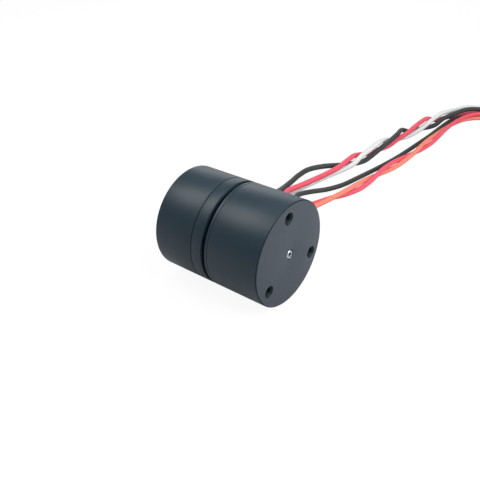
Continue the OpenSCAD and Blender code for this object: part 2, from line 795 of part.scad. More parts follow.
// Round lead swept along a route: rings of points joined by triangles
module lead(route, r) {
    p = curve(route);
    rings = len(p);
    points = [for (i = [0 : rings - 1]) let (frame = across(p, i)) for (k = [0 : tube_sides - 1])
        p[i] + r * (cos(k * 360 / tube_sides) * frame[0] + sin(k * 360 / tube_sides) * frame[1])];
    skin = [for (i = [0 : rings - 2]) for (k = [0 : tube_sides - 1]) let (
        a = i * tube_sides + k,
        b = i * tube_sides + (k + 1) % tube_sides
    ) each [[a, b, a + tube_sides], [b, b + tube_sides, a + tube_sides]]];
    first_cap = [for (k = [1 : tube_sides - 2]) [0, k + 1, k]];
    start = (rings - 1) * tube_sides;
    last_cap = [for (k = [1 : tube_sides - 2]) [start, start + k, start + k + 1]];
    polyhedron(points = points, faces = concat(skin, first_cap, last_cap));
}

function on_table(route) = [for (p = route) [p[0], p[1], floor_z + p[2]]];

// Last stretch of a lead into its connector: a fan-out, then straight in
function plug_entry(place, heading, offset, height) = let (
    ahead = [cos(heading), sin(heading), 0],
    aside = [-sin(heading), cos(heading), 0],
    mouth = [place[0], place[1], floor_z + height] + crimp_inset * ahead
) [
    mouth - (crimp_inset + plug_fan) * ahead + fan_share * offset * aside,
    mouth - (crimp_inset + plug_straight) * ahead + offset * aside,
    mouth - crimp_inset * ahead + offset * aside,
    mouth + offset * aside
];

// Phase lead from its joint, through the base and the grommet, and along the table
function phase_lead_points(route, lead, pin) = let (z = lead_place(lead)) concat(
    [[joint_from, lead_y, z], [base_from - slide_fit, lead_y, z]],
    [for (a = [0 : 22.5 : 90]) [
        exit_x + lead_bend_r - lead_bend_r * sin(a),
        lead_y + lead_bend_r - lead_bend_r * cos(a),
        z
    ]],
    [[exit_x, grommet_outer_y, z], [exit_x, grommet_outer_y + lead_run_out, z]],
    on_table(route),
    plug_entry(phase_plug_place, phase_plug_heading, pin * phase_pitch, phase_housing_h / 2)
);

function encoder_lead_points(route, lead, pin) = let (z = encoder_place(lead)) concat(
    [
        [exit_x, encoder_pad_y, z],
        [exit_x, (encoder_pad_y + cover_inner_r) / 2, z],
        [exit_x, cover_inner_r, z],
        [exit_x, grommet_outer_y, z],
        [exit_x, grommet_outer_y + lead_run_out, z]
    ],
    on_table(route),
    plug_entry(encoder_plug_place, encoder_plug_heading, pin * encoder_pitch, encoder_housing_h / 2)
);

// One lead of the pair that wind round each other, half a turn apart
function pair_route(half_turn) = let (middle = [for (p = encoder_pair_route) [p[0], p[1], p[2]]]) [
    for (i = [0 : len(middle) - 1]) let (
        frame = across(middle, i),
        turn = encoder_pair_route[i][3] + half_turn
    ) middle[i] + pair_r * (cos(turn) * frame[0] + sin(turn) * frame[1])
];

module phase_wire_black() {
    color("#1b1c1e") lead(phase_lead_points(phase_black_route, 1, -1), phase_lead_r);
}

module phase_wire_red() {
    color("#d4374b") lead(phase_lead_points(phase_red_route, 0, 0), phase_lead_r);
}

module phase_wire_white() {
    color("#ecebe6") lead(phase_lead_points(phase_white_route, -1, 1), phase_lead_r);
}

module encoder_wire_black() {
    color("#1b1c1e") lead(encoder_lead_points(encoder_black_route, 1, 1), encoder_lead_r);
}

module encoder_wire_red() {
    color("#d4374b") lead(encoder_lead_points(pair_route(0), 0, 0), encoder_lead_r);
}

module encoder_wire_orange() {
    color("#e2683c") lead(encoder_lead_points(pair_route(180), -1, -1), encoder_lead_r);
}

// A connector lies on the table with its lead end at the given place
module on_table_at(place, heading) {
    translate([place[0], place[1], floor_z]) rotate([0, 0, heading]) children();
}

module phase_connector() {
    cavity_w = phase_pitch - 2 * plug_side_t;
    cavity_h = phase_housing_h - 2 * plug_side_t;
    color("#1c1d1f") on_table_at(phase_plug_place, phase_plug_heading) difference() {
        translate([0, -1.5 * phase_pitch, 0]) cube([phase_housing_len, 3 * phase_pitch, phase_housing_h]);
        for (pin = [-1 : 1]) translate([0, pin * phase_pitch, 0]) {
            translate([-overrun, -cavity_w / 2, plug_side_t])
                cube([phase_housing_len - plug_front_t + overrun, cavity_w, cavity_h]);
            translate([0, -pin_hole_w / 2, phase_housing_h / 2 - pin_hole_w / 2])
                cube([phase_housing_len + overrun, pin_hole_w, pin_hole_w]);
            translate([phase_housing_len / 2, -window_w / 2, phase_housing_h / 2])
                cube([window_l, window_w, phase_housing_h]);
        }
    }
}

// Crimped socket: a square box for the pin and a round barrel on the lead
module contact(len, w, mid_z) {
    box_len = 0.6 * len;
    translate([0, 0, mid_z]) rotate([0, 90, 0]) cylinder(h = len - box_len + fit, r = 0.4 * w);
    difference() {
        translate([len - box_len, -w / 2, mid_z - w / 2]) cube([box_len, w, w]);
        translate([len - box_len / 2, -pin_hole_w / 2, mid_z - pin_hole_w / 2])
            cube([box_len, pin_hole_w, pin_hole_w]);
    }
}

module phase_contacts() {
    w = phase_pitch - 2 * plug_side_t - 2 * contact_gap;
    len = phase_housing_len - plug_front_t - crimp_inset;
    color("#c8a850") on_table_at(phase_plug_place, phase_plug_heading) for (pin = [-1 : 1])
        translate([crimp_inset, pin * phase_pitch, 0]) contact(len, w, phase_housing_h / 2);
}

module encoder_connector() {
    half_w = encoder_pitch + encoder_housing_side;
    color("#eceae4") on_table_at(encoder_plug_place, encoder_plug_heading) difference() {
        union() {
            translate([0, -half_w, 0]) cube([encoder_housing_len, 2 * half_w, encoder_housing_h - rib_h]);
            for (side = [-1, 1]) translate([0, side * encoder_pitch - rib_w / 2, 0])
                cube([encoder_housing_len, rib_w, encoder_housing_h]);
        }
        for (pin = [-1 : 1]) translate([0, pin * encoder_pitch, 0]) {
            translate([-overrun, -encoder_cavity_w / 2, encoder_housing_h / 2 - encoder_cavity_h / 2])
                cube([encoder_housing_len - plug_front_t + overrun, encoder_cavity_w, encoder_cavity_h]);
            translate([0, -pin_hole_w / 2, encoder_housing_h / 2 - pin_hole_w / 2])
                cube([encoder_housing_len + overrun, pin_hole_w, pin_hole_w]);
        }
    }
}

module encoder_contacts() {
    w = encoder_cavity_w - 2 * contact_gap;
    len = encoder_housing_len - plug_front_t - crimp_inset;
    color("#c9ccd0") on_table_at(encoder_plug_place, encoder_plug_heading) for (pin = [-1 : 1])
        translate([crimp_inset, pin * encoder_pitch, 0]) contact(len, w, encoder_housing_h / 2);
}

rear_cover();
stator_base();
rotor_bell();
flux_ring();
for (i = [1 : magnet_count]) magnet(i);
shaft();
retaining_clip();
front_shim();
rear_shim();
stator_core();
insulator_front();
insulator_rear();
winding_phase_a();
winding_phase_b();
winding_phase_c();
winding_joints();
cover_screws();
board_screws();
encoder_board();
encoder_chip();
board_components();
magnet_holder();
encoder_magnet();
wire_grommet();
for (end = ["front", "rear"]) for (piece = ["outer_race", "inner_race", "balls", "cage", "shields"])
    bearing_piece(end, piece);
phase_wire_black();
phase_wire_red();
phase_wire_white();
encoder_wire_black();
encoder_wire_red();
encoder_wire_orange();
phase_connector();
phase_contacts();
encoder_connector();
encoder_contacts();
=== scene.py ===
"""Looks of a small brushless gimbal motor with an encoder, lying on a pale table.

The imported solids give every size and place. This file rebuilds the shells, the shaft, the grommet,
the leads and the connectors with their fine edges, and dresses every other solid in its finish.
Sizes are written in millimetres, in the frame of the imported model.
"""

import json
import logging
import math
from collections.abc import Callable
from dataclasses import dataclass, field
from enum import Enum
from typing import ClassVar

import bpy
from mathutils import Matrix, Vector


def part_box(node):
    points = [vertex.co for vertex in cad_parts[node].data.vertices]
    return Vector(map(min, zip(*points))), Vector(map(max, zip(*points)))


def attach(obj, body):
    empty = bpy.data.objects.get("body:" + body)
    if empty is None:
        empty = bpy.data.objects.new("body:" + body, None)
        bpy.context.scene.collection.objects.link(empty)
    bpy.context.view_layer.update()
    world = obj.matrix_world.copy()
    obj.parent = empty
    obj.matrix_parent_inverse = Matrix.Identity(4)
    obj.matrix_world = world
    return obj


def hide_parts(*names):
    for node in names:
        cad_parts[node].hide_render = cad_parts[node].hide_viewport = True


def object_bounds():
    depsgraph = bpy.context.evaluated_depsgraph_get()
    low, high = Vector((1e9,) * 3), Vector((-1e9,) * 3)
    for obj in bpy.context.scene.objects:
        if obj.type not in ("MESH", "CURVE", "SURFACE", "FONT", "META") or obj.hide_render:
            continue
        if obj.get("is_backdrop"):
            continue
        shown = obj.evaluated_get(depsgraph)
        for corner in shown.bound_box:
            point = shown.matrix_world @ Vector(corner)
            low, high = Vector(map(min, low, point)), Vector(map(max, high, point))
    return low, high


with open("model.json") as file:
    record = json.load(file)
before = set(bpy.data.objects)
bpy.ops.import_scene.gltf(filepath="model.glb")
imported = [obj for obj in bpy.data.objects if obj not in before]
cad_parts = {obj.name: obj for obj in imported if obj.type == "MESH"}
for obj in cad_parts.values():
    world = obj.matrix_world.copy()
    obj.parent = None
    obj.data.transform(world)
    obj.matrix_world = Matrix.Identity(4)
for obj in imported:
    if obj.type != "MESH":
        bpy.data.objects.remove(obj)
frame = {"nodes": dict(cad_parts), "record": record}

Point = tuple[float, float, float]
Outline = list[tuple[float, float]]
Places = list[tuple[float, float]]
Colour = tuple[float, float, float]
Piece = bpy.types.Object
Face = bpy.types.MeshPolygon
Socket = bpy.types.NodeSocket

MM = 0.001
MICRON = 0.000001
FLOOR_Z = -12.5
OUTER_R = 12.5
LOG = logging.getLogger("gimbal_motor")


class Side(Enum):
    """Which way a cutter enters a turned piece along the shaft."""

    REAR = -1
    FRONT = 1


class Exit(Enum):
    """The two rows of leads in the grommet."""

    PHASE = "phase"
    ENCODER = "encoder"


# Finishes


class NodeTree:
    """Small writer for the nodes of a material, a world or a group."""

    def __init__(self, tree: bpy.types.NodeTree) -> None:
        """Keep the tree that the nodes go into.

        Args:
            tree: The node tree to write to.
        """
        self.tree = tree

    def add(self, kind: str, **values: object) -> bpy.types.Node:
        """Add a node and set its plain attributes.

        Args:
            kind: Node type, such as ShaderNodeMath.
            **values: Attributes of the node.

        Returns:
            The new node.
        """
        node = self.tree.nodes.new(kind)
        for key, value in values.items():
            setattr(node, key, value)
        return node

    def feed(self, source: object, target: Socket) -> None:
        """Link a socket to a target, or set the target to a plain value.

        Args:
            source: Output socket, or a value.
            target: Input socket.
        """
        if isinstance(source, Socket):
            self.tree.links.new(source, target)
        else:
            target.default_value = source

    def math(self, operation: str, a: object, b: object = 0.0, c: object = 0.0) -> Socket:
        """Add a math node.

        Args:
            operation: Name of the operation.
            a: First value or socket.
            b: Second value or socket.
            c: Third value or socket.

        Returns:
            The output socket.
        """
        node = self.add("ShaderNodeMath", operation=operation)
        for value, socket in zip((a, b, c), node.inputs):
            self.feed(value, socket)
        return node.outputs[0]

    def noise(self, vector: object, scale: object, detail: float = 2.0) -> Socket:
        """Add a noise texture and return its value.

        Args:
            vector: Socket with the place.
            scale: Cells per metre, as a value or a socket.
            detail: Number of finer layers.

        Returns:
            The noise value, from 0 to 1.
        """
        node = self.add("ShaderNodeTexNoise")
        self.feed(vector, node.inputs["Vector"])
        self.feed(scale, node.inputs["Scale"])
        node.inputs["Detail"].default_value = detail
        return node.outputs["Fac"]

    def blend(self, share: object, a: object, b: object) -> Socket:
        """Mix two colours.

        Args:
            share: Share of the second colour.
            a: First colour.
            b: Second colour.

        Returns:
            The mixed colour.
        """
        node = self.add("ShaderNodeMix", data_type="RGBA")
        self.feed(share, node.inputs[0])
        self.feed(a, node.inputs[6])
        self.feed(b, node.inputs[7])
        return node.outputs[2]

    def light_path(self) -> tuple[Socket, Socket]:
        """Add a Light Path node.

        Returns:
            1 where the camera or a window sees the surface, and 1 where a mirror sees it.
        """
        path = self.add("ShaderNodeLightPath").outputs
        return self.math("MAXIMUM", path["Is Camera Ray"], path["Is Transmission Ray"]), path["Is Glossy Ray"]

    def mix_onto(self, share: object, first: bpy.types.Node, second: bpy.types.Node, output: str) -> None:
        """Mix two shaders and feed them to the output node.

        Args:
            share: Share of the second shader.
            first: First shader.
            second: Second shader.
            output: Name of the output node.
        """
        mix = self.add("ShaderNodeMixShader")
        for source, socket in zip((share, first.outputs[0], second.outputs[0]), mix.inputs):
            self.feed(source, socket)
        self.feed(mix.outputs[0], self.tree.nodes[output].inputs["Surface"])


class Effects:
    """Shader groups that more than one finish uses, each built once."""

    _made: dict[str, bpy.types.NodeTree] = {}

    @classmethod
    def _group(
        cls, name: str, inputs: dict[str, float], outputs: list[str]
    ) -> tuple[NodeTree, bpy.types.Node, bpy.types.Node]:
        """Start a group with float sockets.

        Args:
            name: Name of the group.
            inputs: Input names with their defaults.
            outputs: Output names.

        Returns:
            The writer, the input node and the output node.
        """
        group = bpy.data.node_groups.new(name, "ShaderNodeTree")
        for key, value in inputs.items():
            socket = group.interface.new_socket(name=key, in_out="INPUT", socket_type="NodeSocketFloat")
            socket.default_value = value
        for key in outputs:
            group.interface.new_socket(name=key, in_out="OUTPUT", socket_type="NodeSocketFloat")
        cls._made[name] = group
        writer = NodeTree(group)
        return writer, writer.add("NodeGroupInput"), writer.add("NodeGroupOutput")

    @classmethod
    def grain(cls) -> bpy.types.NodeTree:
        """Build the group of fine blasted grain with slow patches.

        Returns:
            The group, with Mask, Patch and Height.
        """
        if "fine_grain" in cls._made:
            return cls._made["fine_grain"]
        nodes, given, out = cls._group(
            "fine_grain", {"Grain": 9000.0, "Patches": 90.0}, ["Mask", "Patch", "Height"]
        )
        place = nodes.add("ShaderNodeTexCoord").outputs["Object"]
        fine = nodes.noise(place, given.outputs["Grain"], 1.0)
        slow = nodes.noise(place, given.outputs["Patches"], 3.0)
        nodes.feed(fine, out.inputs["Mask"])
        nodes.feed(slow, out.inputs["Patch"])
        nodes.feed(nodes.math("MULTIPLY_ADD", slow, 0.25, fine), out.inputs["Height"])
        return cls._made["fine_grain"]

    @classmethod
    def turned_marks(cls) -> bpy.types.NodeTree:
        """Build the group of faint tool marks round the shaft, on side walls and on end faces.

        Returns:
            The group, with Height.
        """
        if "turned_marks" in cls._made:
            return cls._made["turned_marks"]
        nodes, given, out = cls._group("turned_marks", {"Marks": 9000.0}, ["Height"])
        place = nodes.add("ShaderNodeTexCoord").outputs["Object"]
        parts = nodes.add("ShaderNodeSeparateXYZ")
        nodes.feed(place, parts.inputs[0])
        square = nodes.math("MULTIPLY_ADD", parts.outputs[1], parts.outputs[1],
                            nodes.math("MULTIPLY", parts.outputs[2], parts.outputs[2]))
        radius = nodes.math("SQRT", square)
        line = nodes.add("ShaderNodeCombineXYZ")
        nodes.feed(parts.outputs[0], line.inputs[0])
        nodes.feed(radius, line.inputs[1])
        nodes.feed(nodes.noise(line.outputs[0], given.outputs["Marks"], 2.0), out.inputs["Height"])
        return cls._made["turned_marks"]


@dataclass(frozen=True)
class Finish:
    """One surface finish: colour, gloss and the small unevenness of the real material.

    Args:
        name: Name of the material.
        colour: Linear base colour.
        second: Second colour that shows in slow patches and in the grain.
        patch_share: How much of the second colour shows.
        metallic: 1 for bare metal.
        rough: Mean roughness.
        rough_spread: How far the roughness wanders.
        grain: Grain cells per metre.
        patches: Slow patches per metre.
        bump: Height of the grain in metres.
        turned: Height of the tool marks in metres.
        marks: Tool marks per metre.
        specular: Strength of the gloss of a plastic or a coating.
        coat: Weight of a clear coat.
        coat_rough: Roughness of the clear coat.
    """

    name: str
    colour: Colour
    second: Colour
    patch_share: float = 0.5
    metallic: float = 0.0
    rough: float = 0.5
    rough_spread: float = 0.08
    grain: float = 9000.0
    patches: float = 90.0
    bump: float = 0.000004
    turned: float = 0.0
    marks: float = 9000.0
    specular: float = 0.5
    coat: float = 0.0
    coat_rough: float = 0.2
    made: ClassVar[dict[str, bpy.types.Material]] = {}

    def material(self) -> bpy.types.Material:
        """Build the material once.

        Returns:
            The material of this finish.
        """
        if self.name in self.made:
            return self.made[self.name]
        material = self.made[self.name] = bpy.data.materials.new(self.name)
        material.use_nodes = True
        nodes = NodeTree(material.node_tree)
        shader = material.node_tree.nodes["Principled BSDF"]
        grain = nodes.add("ShaderNodeGroup", node_tree=Effects.grain())
        grain.inputs["Grain"].default_value = self.grain
        grain.inputs["Patches"].default_value = self.patches
        slow = nodes.math("MULTIPLY", grain.outputs["Patch"], 0.5)
        both = nodes.math("MULTIPLY_ADD", grain.outputs["Mask"], 0.5, slow)
        share = nodes.math("MULTIPLY", both, 2.0 * self.patch_share)
        nodes.feed(nodes.blend(share, (*self.colour, 1.0), (*self.second, 1.0)), shader.inputs["Base Color"])
        spread = nodes.math("SUBTRACT", grain.outputs["Patch"], 0.5)
        rough = nodes.math("MULTIPLY_ADD", spread, 2.0 * self.rough_spread, self.rough)
        nodes.feed(rough, shader.inputs["Roughness"])
        shader.inputs["Metallic"].default_value = self.metallic
        shader.inputs["Specular IOR Level"].default_value = self.specular
        if self.coat:
            shader.inputs["Coat Weight"].default_value = self.coat
            shader.inputs["Coat Roughness"].default_value = self.coat_rough
        height = nodes.math("MULTIPLY", grain.outputs["Height"], self.bump / MICRON)
        if self.turned:
            marks = nodes.add("ShaderNodeGroup", node_tree=Effects.turned_marks())
            marks.inputs["Marks"].default_value = self.marks
            height = nodes.math("MULTIPLY_ADD", marks.outputs["Height"], self.turned / MICRON, height)
        relief = nodes.add("ShaderNodeBump")
        relief.inputs["Distance"].default_value = MICRON
        nodes.feed(height, relief.inputs["Height"])
        nodes.feed(relief.outputs["Normal"], shader.inputs["Normal"])
        return material

    def on(self, piece: Piece) -> None:
        """Dress a piece in this finish alone.

        Args:
            piece: Mesh or curve object.
        """
        piece.data.materials.clear()
        piece.data.materials.append(self.material())


ANODISED = Finish(
    "anodised_shell", (0.006, 0.023, 0.036), (0.009, 0.027, 0.041), rough=0.37, rough_spread=0.04,
    grain=14000.0, patches=60.0, bump=0.000005, turned=0.000009, marks=5200.0, specular=0.5,
)
# Painted shade: a darker copy of the anodising for hole walls and outer edge slants, standing in for shade in
# the holes and dark reflections on the edges
ANODISED_PAINTED_SHADE = Finish(
    "anodised_painted_shade", (0.004, 0.009, 0.013), (0.006, 0.012, 0.017), rough=0.55, rough_spread=0.05,
    grain=14000.0, patches=60.0, bump=0.000002, specular=0.2,
)
# Painted light: a paler copy of the anodising for the flat front face, standing in for the brighter light
# that falls on it
ANODISED_PAINTED_LIGHT = Finish(
    "anodised_painted_light", (0.03, 0.038, 0.05), (0.036, 0.044, 0.057), rough=0.44, rough_spread=0.04,
    grain=14000.0, patches=60.0, bump=0.000005, turned=0.000007, marks=6000.0, specular=0.5,
)
GROUND_STEEL = Finish(
    "ground_steel", (0.62, 0.63, 0.64), (0.72, 0.72, 0.73), metallic=1.0, rough=0.2, rough_spread=0.06,
    turned=0.000002, marks=16000.0, bump=0.000001,
)
# Painted shade: a dark copy of the steel for the inside of the centre drilling
STEEL_PAINTED_SHADE = Finish(
    "steel_painted_shade", (0.05, 0.05, 0.055), (0.08, 0.08, 0.085), metallic=1.0, rough=0.55,
)
MAGNET_PLATE = Finish(
    "nickel_plate", (0.5, 0.51, 0.52), (0.58, 0.58, 0.58), metallic=1.0, rough=0.3, bump=0.000003,
)
CORE_STEEL = Finish(
    "lamination_steel", (0.2, 0.21, 0.23), (0.28, 0.28, 0.3), metallic=1.0, rough=0.45, turned=0.00001,
    marks=2800.0,
)
BLACK_SCREW = Finish(
    "black_oxide", (0.02, 0.021, 0.023), (0.035, 0.036, 0.038), metallic=0.6, rough=0.36, bump=0.000002,
)
BRASS = Finish("stamped_brass", (0.68, 0.48, 0.18), (0.74, 0.55, 0.26), metallic=1.0, rough=0.28)
TINNED = Finish("tin_plate", (0.66, 0.66, 0.66), (0.74, 0.74, 0.73), metallic=1.0, rough=0.34)
ALUMINIUM = Finish(
    "turned_aluminium", (0.66, 0.67, 0.68), (0.72, 0.72, 0.73), metallic=1.0, rough=0.3, turned=0.000003,
)
COPPER = Finish(
    "enamelled_copper", (0.5, 0.17, 0.06), (0.6, 0.24, 0.09), metallic=0.9, rough=0.3, grain=6000.0,
    bump=0.00002, coat=0.6,
)
WHITE_NYLON = Finish(
    "nylon_white", (0.78, 0.77, 0.72), (0.84, 0.83, 0.79), rough=0.42, grain=5000.0, bump=0.000003,
)
BLACK_NYLON = Finish(
    "nylon_black", (0.02, 0.021, 0.022), (0.03, 0.031, 0.032), rough=0.46, grain=5000.0, bump=0.000004,
)
BOARD = Finish(
    "green_board", (0.01, 0.1, 0.05), (0.02, 0.15, 0.075), rough=0.3, grain=2500.0, bump=0.000006, coat=0.4,
)
CHIP = Finish("moulded_epoxy", (0.02, 0.02, 0.022), (0.035, 0.035, 0.037), rough=0.55, grain=9000.0)
FIRED_CERAMIC = Finish("fired_ceramic", (0.4, 0.29, 0.16), (0.46, 0.34, 0.2), rough=0.4)
GROMMET_RUBBER = Finish(
    "grommet_rubber", (0.016, 0.017, 0.018), (0.026, 0.027, 0.028), rough=0.62, grain=4000.0, bump=0.000006,
)
SHRINK_SLEEVE = Finish("shrink_sleeve", (0.02, 0.02, 0.021), (0.03, 0.03, 0.031), rough=0.5, bump=0.00001)


def silicone(name: str, colour: Colour, second: Colour) -> Finish:
    """Give the soft satin finish of an extruded silicone lead.

    Args:
        name: Name of the finish.
        colour: Main colour.
        second: Paler or darker colour of the slow patches.

    Returns:
        The finish.
    """
    return Finish(
        name, colour, second, rough=0.48, rough_spread=0.06, grain=5200.0, patches=140.0, bump=0.0000025,
        specular=0.35,
    )


LEAD_BLACK = silicone("silicone_black", (0.03, 0.034, 0.032), (0.042, 0.046, 0.044))
LEAD_RED = silicone("silicone_red", (0.72, 0.065, 0.105), (0.78, 0.1, 0.14))
LEAD_WHITE = silicone("silicone_white", (0.64, 0.64, 0.61), (0.72, 0.72, 0.69))
LEAD_ORANGE = silicone("silicone_orange", (0.78, 0.17, 0.11), (0.82, 0.22, 0.15))


# Modelling steps


class Bench:
    """Edit-mode steps that the pieces share. Lengths are in millimetres."""

    @staticmethod
    def clear() -> None:
        """Leave edit mode and deselect everything."""
        if bpy.context.object is not None and bpy.context.object.mode != "OBJECT":
            bpy.ops.object.mode_set(mode="OBJECT")
        bpy.ops.object.select_all(action="DESELECT")

    @staticmethod
    def pick(piece: Piece) -> None:
        """Make a piece the only selected and the active one.

        Args:
            piece: The piece.
        """
        Bench.clear()
        piece.select_set(True)
        bpy.context.view_layer.objects.active = piece

    @staticmethod
    def settle(piece: Piece, name: str) -> Piece:
        """Name a piece, and put its object at the origin with its place in its mesh.

        Args:
            piece: The piece.
            name: Its name.

        Returns:
            The same piece.
        """
        Bench.pick(piece)
        bpy.ops.object.transform_apply(location=True, rotation=True, scale=True)
        piece.name = name
        piece.data.name = name
        return piece

    @staticmethod
    def weld(threshold: float) -> None:
        """Select all of the piece in edit mode and merge what lies closer than the threshold."""
        bpy.ops.mesh.select_all(action="SELECT")
        bpy.ops.mesh.remove_doubles(threshold=threshold * MM)

    @staticmethod
    def lathe(name: str, outline: Outline, sides: int) -> Piece:
        """Turn an outline about the shaft.

        Args:
            name: Name of the piece.
            outline: Corners as place and radius. It is closed on itself, unless it starts and ends at
                radius zero, where the end is filled.
            sides: Number of facets round the shaft.

        Returns:
            The turned piece.
        """
        solid = outline[0][1] == 0
        corners = outline[1:-1] if solid else outline
        Bench.clear()
        x, r = corners[0]
        bpy.ops.mesh.primitive_circle_add(
            vertices=sides, radius=r * MM, location=(x * MM, 0, 0), rotation=(0, math.pi / 2, 0),
            fill_type="NGON" if solid else "NOTHING",
        )
        piece = bpy.context.object
        bpy.ops.object.mode_set(mode="EDIT")
        bpy.ops.mesh.select_all(action="SELECT")
        rest = corners[1:] if solid else corners[1:] + corners[:1]
        for to_x, to_r in rest:
            bpy.ops.mesh.extrude_edges_move(TRANSFORM_OT_translate={"value": ((to_x - x) * MM, 0, 0)})
            growth = to_r / r
            bpy.ops.transform.resize(value=(1, growth, growth), center_override=(to_x * MM, 0, 0))
            x, r = to_x, to_r
        if solid:
            bpy.ops.mesh.edge_face_add()
        Bench.weld(0.0002)
        bpy.ops.mesh.normals_make_consistent(inside=False)
        bpy.ops.object.mode_set(mode="OBJECT")
        return Bench.settle(piece, name)

    @staticmethod
    def block(name: str, low: Point, high: Point, round_mm: float = 0.0) -> Piece:
        """Make a block between two corners, with rounded edges.

        Args:
            name: Name of the piece.
            low: Lowest corner.
            high: Highest corner.
            round_mm: Width of the rounded edges.

        Returns:
            The block.
        """
        Bench.clear()
        centre = [(a + b) / 2 * MM for a, b in zip(low, high)]
        size = [(b - a) * MM for a, b in zip(low, high)]
        bpy.ops.mesh.primitive_cube_add(size=1, location=centre, scale=size)
        piece = Bench.settle(bpy.context.object, name)
        if round_mm:
            Bench.soften(piece, round_mm)
        return piece

    @staticmethod
    def soften(piece: Piece, width: float, angle: float = 34) -> None:
        """Round the sharp edges with an applied bevel of two facets.

        Args:
            piece: The piece.
            width: Width of the bevel.
            angle: Edges sharper than this many degrees are rounded.
        """
        Bench.pick(piece)
        bevel = piece.modifiers.new("edges", "BEVEL")
        bevel.width = width * MM
        bevel.segments = 2
        bevel.limit_method = "ANGLE"
        bevel.angle_limit = math.radians(angle)
        bevel.use_clamp_overlap = True
        bpy.ops.object.modifier_apply(modifier=bevel.name)

    @staticmethod
    def combine(piece: Piece, tool: Piece, operation: str = "DIFFERENCE") -> None:
        """Cut a tool out of a piece, or add it, and remove the tool.

        Args:
            piece: The piece that stays.
            tool: The other solid.
            operation: DIFFERENCE, UNION or INTERSECT.
        """
        Bench.pick(piece)
        modifier = piece.modifiers.new("shape", "BOOLEAN")
        modifier.operation = operation
        modifier.solver = "EXACT"
        modifier.object = tool
        bpy.ops.object.modifier_apply(modifier=modifier.name)
        bpy.data.objects.remove(tool)

    @staticmethod
    def cut_block(piece: Piece, name: str, low: Point, high: Point, round_mm: float = 0.0) -> None:
        """Cut a block out of a piece.

        Args:
            piece: The piece that stays.
            name: Name of the cutter.
            low: Lowest corner of the cutter.
            high: Highest corner of the cutter.
            round_mm: Width of the cutter's rounded edges.
        """
        Bench.combine(piece, Bench.block(name, low, high, round_mm))

    @staticmethod
    def join(pieces: list[Piece], name: str) -> Piece:
        """Join pieces into one object.

        Args:
            pieces: The pieces.
            name: Name of the whole.

        Returns:
            The joined piece.
        """
        Bench.clear()
        for piece in pieces:
            piece.select_set(True)
        bpy.context.view_layer.objects.active = pieces[0]
        if len(pieces) > 1:
            bpy.ops.object.join()
        return Bench.settle(bpy.context.object, name)

    @staticmethod
    def round_shaft(piece: Piece, name: str, places: Places) -> Piece:
        """Copy a piece to places round the shaft and join the copies.

        Args:
            piece: The piece, drawn about the shaft's line. It is used up.
            name: Name of the joined copies.
            places: Direction in degrees from +Y towards +Z, and distance from the shaft, of each copy.

        Returns:
            The joined copies.
        """
        copies = []
        for angle, distance in places:
            copy = piece.copy()
            copy.data = piece.data.copy()
            bpy.context.scene.collection.objects.link(copy)
            turn = math.radians(angle)
            copy.data.transform(Matrix.Translation((0, 0, distance * MM)))
            copy.data.transform(Matrix.Rotation(turn - math.pi / 2, 4, "X"))
            copies.append(copy)
        bpy.data.objects.remove(piece)
        return Bench.join(copies, name)

    @staticmethod
    def smooth(piece: Piece, angle: float = 24) -> None:
        """Merge doubles, point faces outwards and shade by angle.

        Args:
            piece: The piece.
            angle: Edges sharper than this many degrees stay sharp.
        """
        Bench.pick(piece)
        bpy.ops.object.mode_set(mode="EDIT")
        Bench.weld(0.0005)
        bpy.ops.mesh.normals_make_consistent(inside=False)
        bpy.ops.object.mode_set(mode="OBJECT")
        bpy.ops.object.shade_smooth_by_angle(angle=math.radians(angle))

    @staticmethod
    def copy_of(node: str, name: str) -> Piece:
        """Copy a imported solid, merge its loose triangles and clear the lines inside its flat faces.

        Args:
            node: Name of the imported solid.
            name: Name of the copy.

        Returns:
            The copy.
        """
        source = frame["nodes"][node]
        copy = bpy.data.objects.new(name, source.data.copy())
        bpy.context.scene.collection.objects.link(copy)
        Bench.pick(copy)
        bpy.ops.object.mode_set(mode="EDIT")
        Bench.weld(0.001)
        bpy.ops.mesh.dissolve_limited(angle_limit=math.radians(0.5))
        bpy.ops.object.mode_set(mode="OBJECT")
        return copy


def paint(piece: Piece, finish: Finish, chosen: Callable[[Face], bool]) -> None:
    """Give some faces of a piece a second finish.

    Args:
        piece: The piece, already dressed.
        finish: The finish of the chosen faces.
        chosen: Says whether a face is one of them.
    """
    piece.data.materials.append(finish.material())
    index = len(piece.data.materials) - 1
    for polygon in piece.data.polygons:
        if chosen(polygon):
            polygon.material_index = index


@dataclass
class PaintedShadeFaces:
    """Faces of a shell that get painted shade: its outer edge slants, where it stands for a dark reflection,
    and its holes, where it stands for shade.

    Args:
        holes: Direction in degrees from +Y towards +Z, and distance from the shaft, of each hole.
        hole_r: Radius within which a face belongs to a hole.
        edge_from_r: Distance from the shaft past which a slant face is an outer edge.
        least_slant: Least share of the shaft's direction in the normal of a slant face.
        most_slant: Greatest such share. A face past it looks along the shaft.
    """

    holes: Places = field(default_factory=list)
    hole_r: float = 1.6
    edge_from_r: float = 12.2
    least_slant: float = 0.3
    most_slant: float = 0.97

    def __call__(self, polygon: Face) -> bool:
        """Say whether a face is one of them.

        Args:
            polygon: A face of a turned shell.

        Returns:
            True on an outer edge or inside a hole.
        """
        x, y, z = polygon.center / MM
        slant = abs(polygon.normal.x)
        if slant >= self.most_slant:
            return False
        if math.hypot(y, z) > self.edge_from_r and slant > self.least_slant:
            return True
        return any(
            math.hypot(y - d * math.cos(math.radians(a)), z - d * math.sin(math.radians(a))) < self.hole_r
            for a, d in self.holes
        )


def keep(piece: Piece, body: str, slot: str, *nodes: str) -> None:
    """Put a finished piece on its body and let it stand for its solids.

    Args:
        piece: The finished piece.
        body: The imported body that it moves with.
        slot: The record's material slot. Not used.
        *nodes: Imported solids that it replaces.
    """
    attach(piece, body)
    if nodes:
        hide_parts(*nodes)
    LOG.info("%s on %s, %d faces", piece.name, body, len(getattr(piece.data, "polygons", [])))


# Camera and light


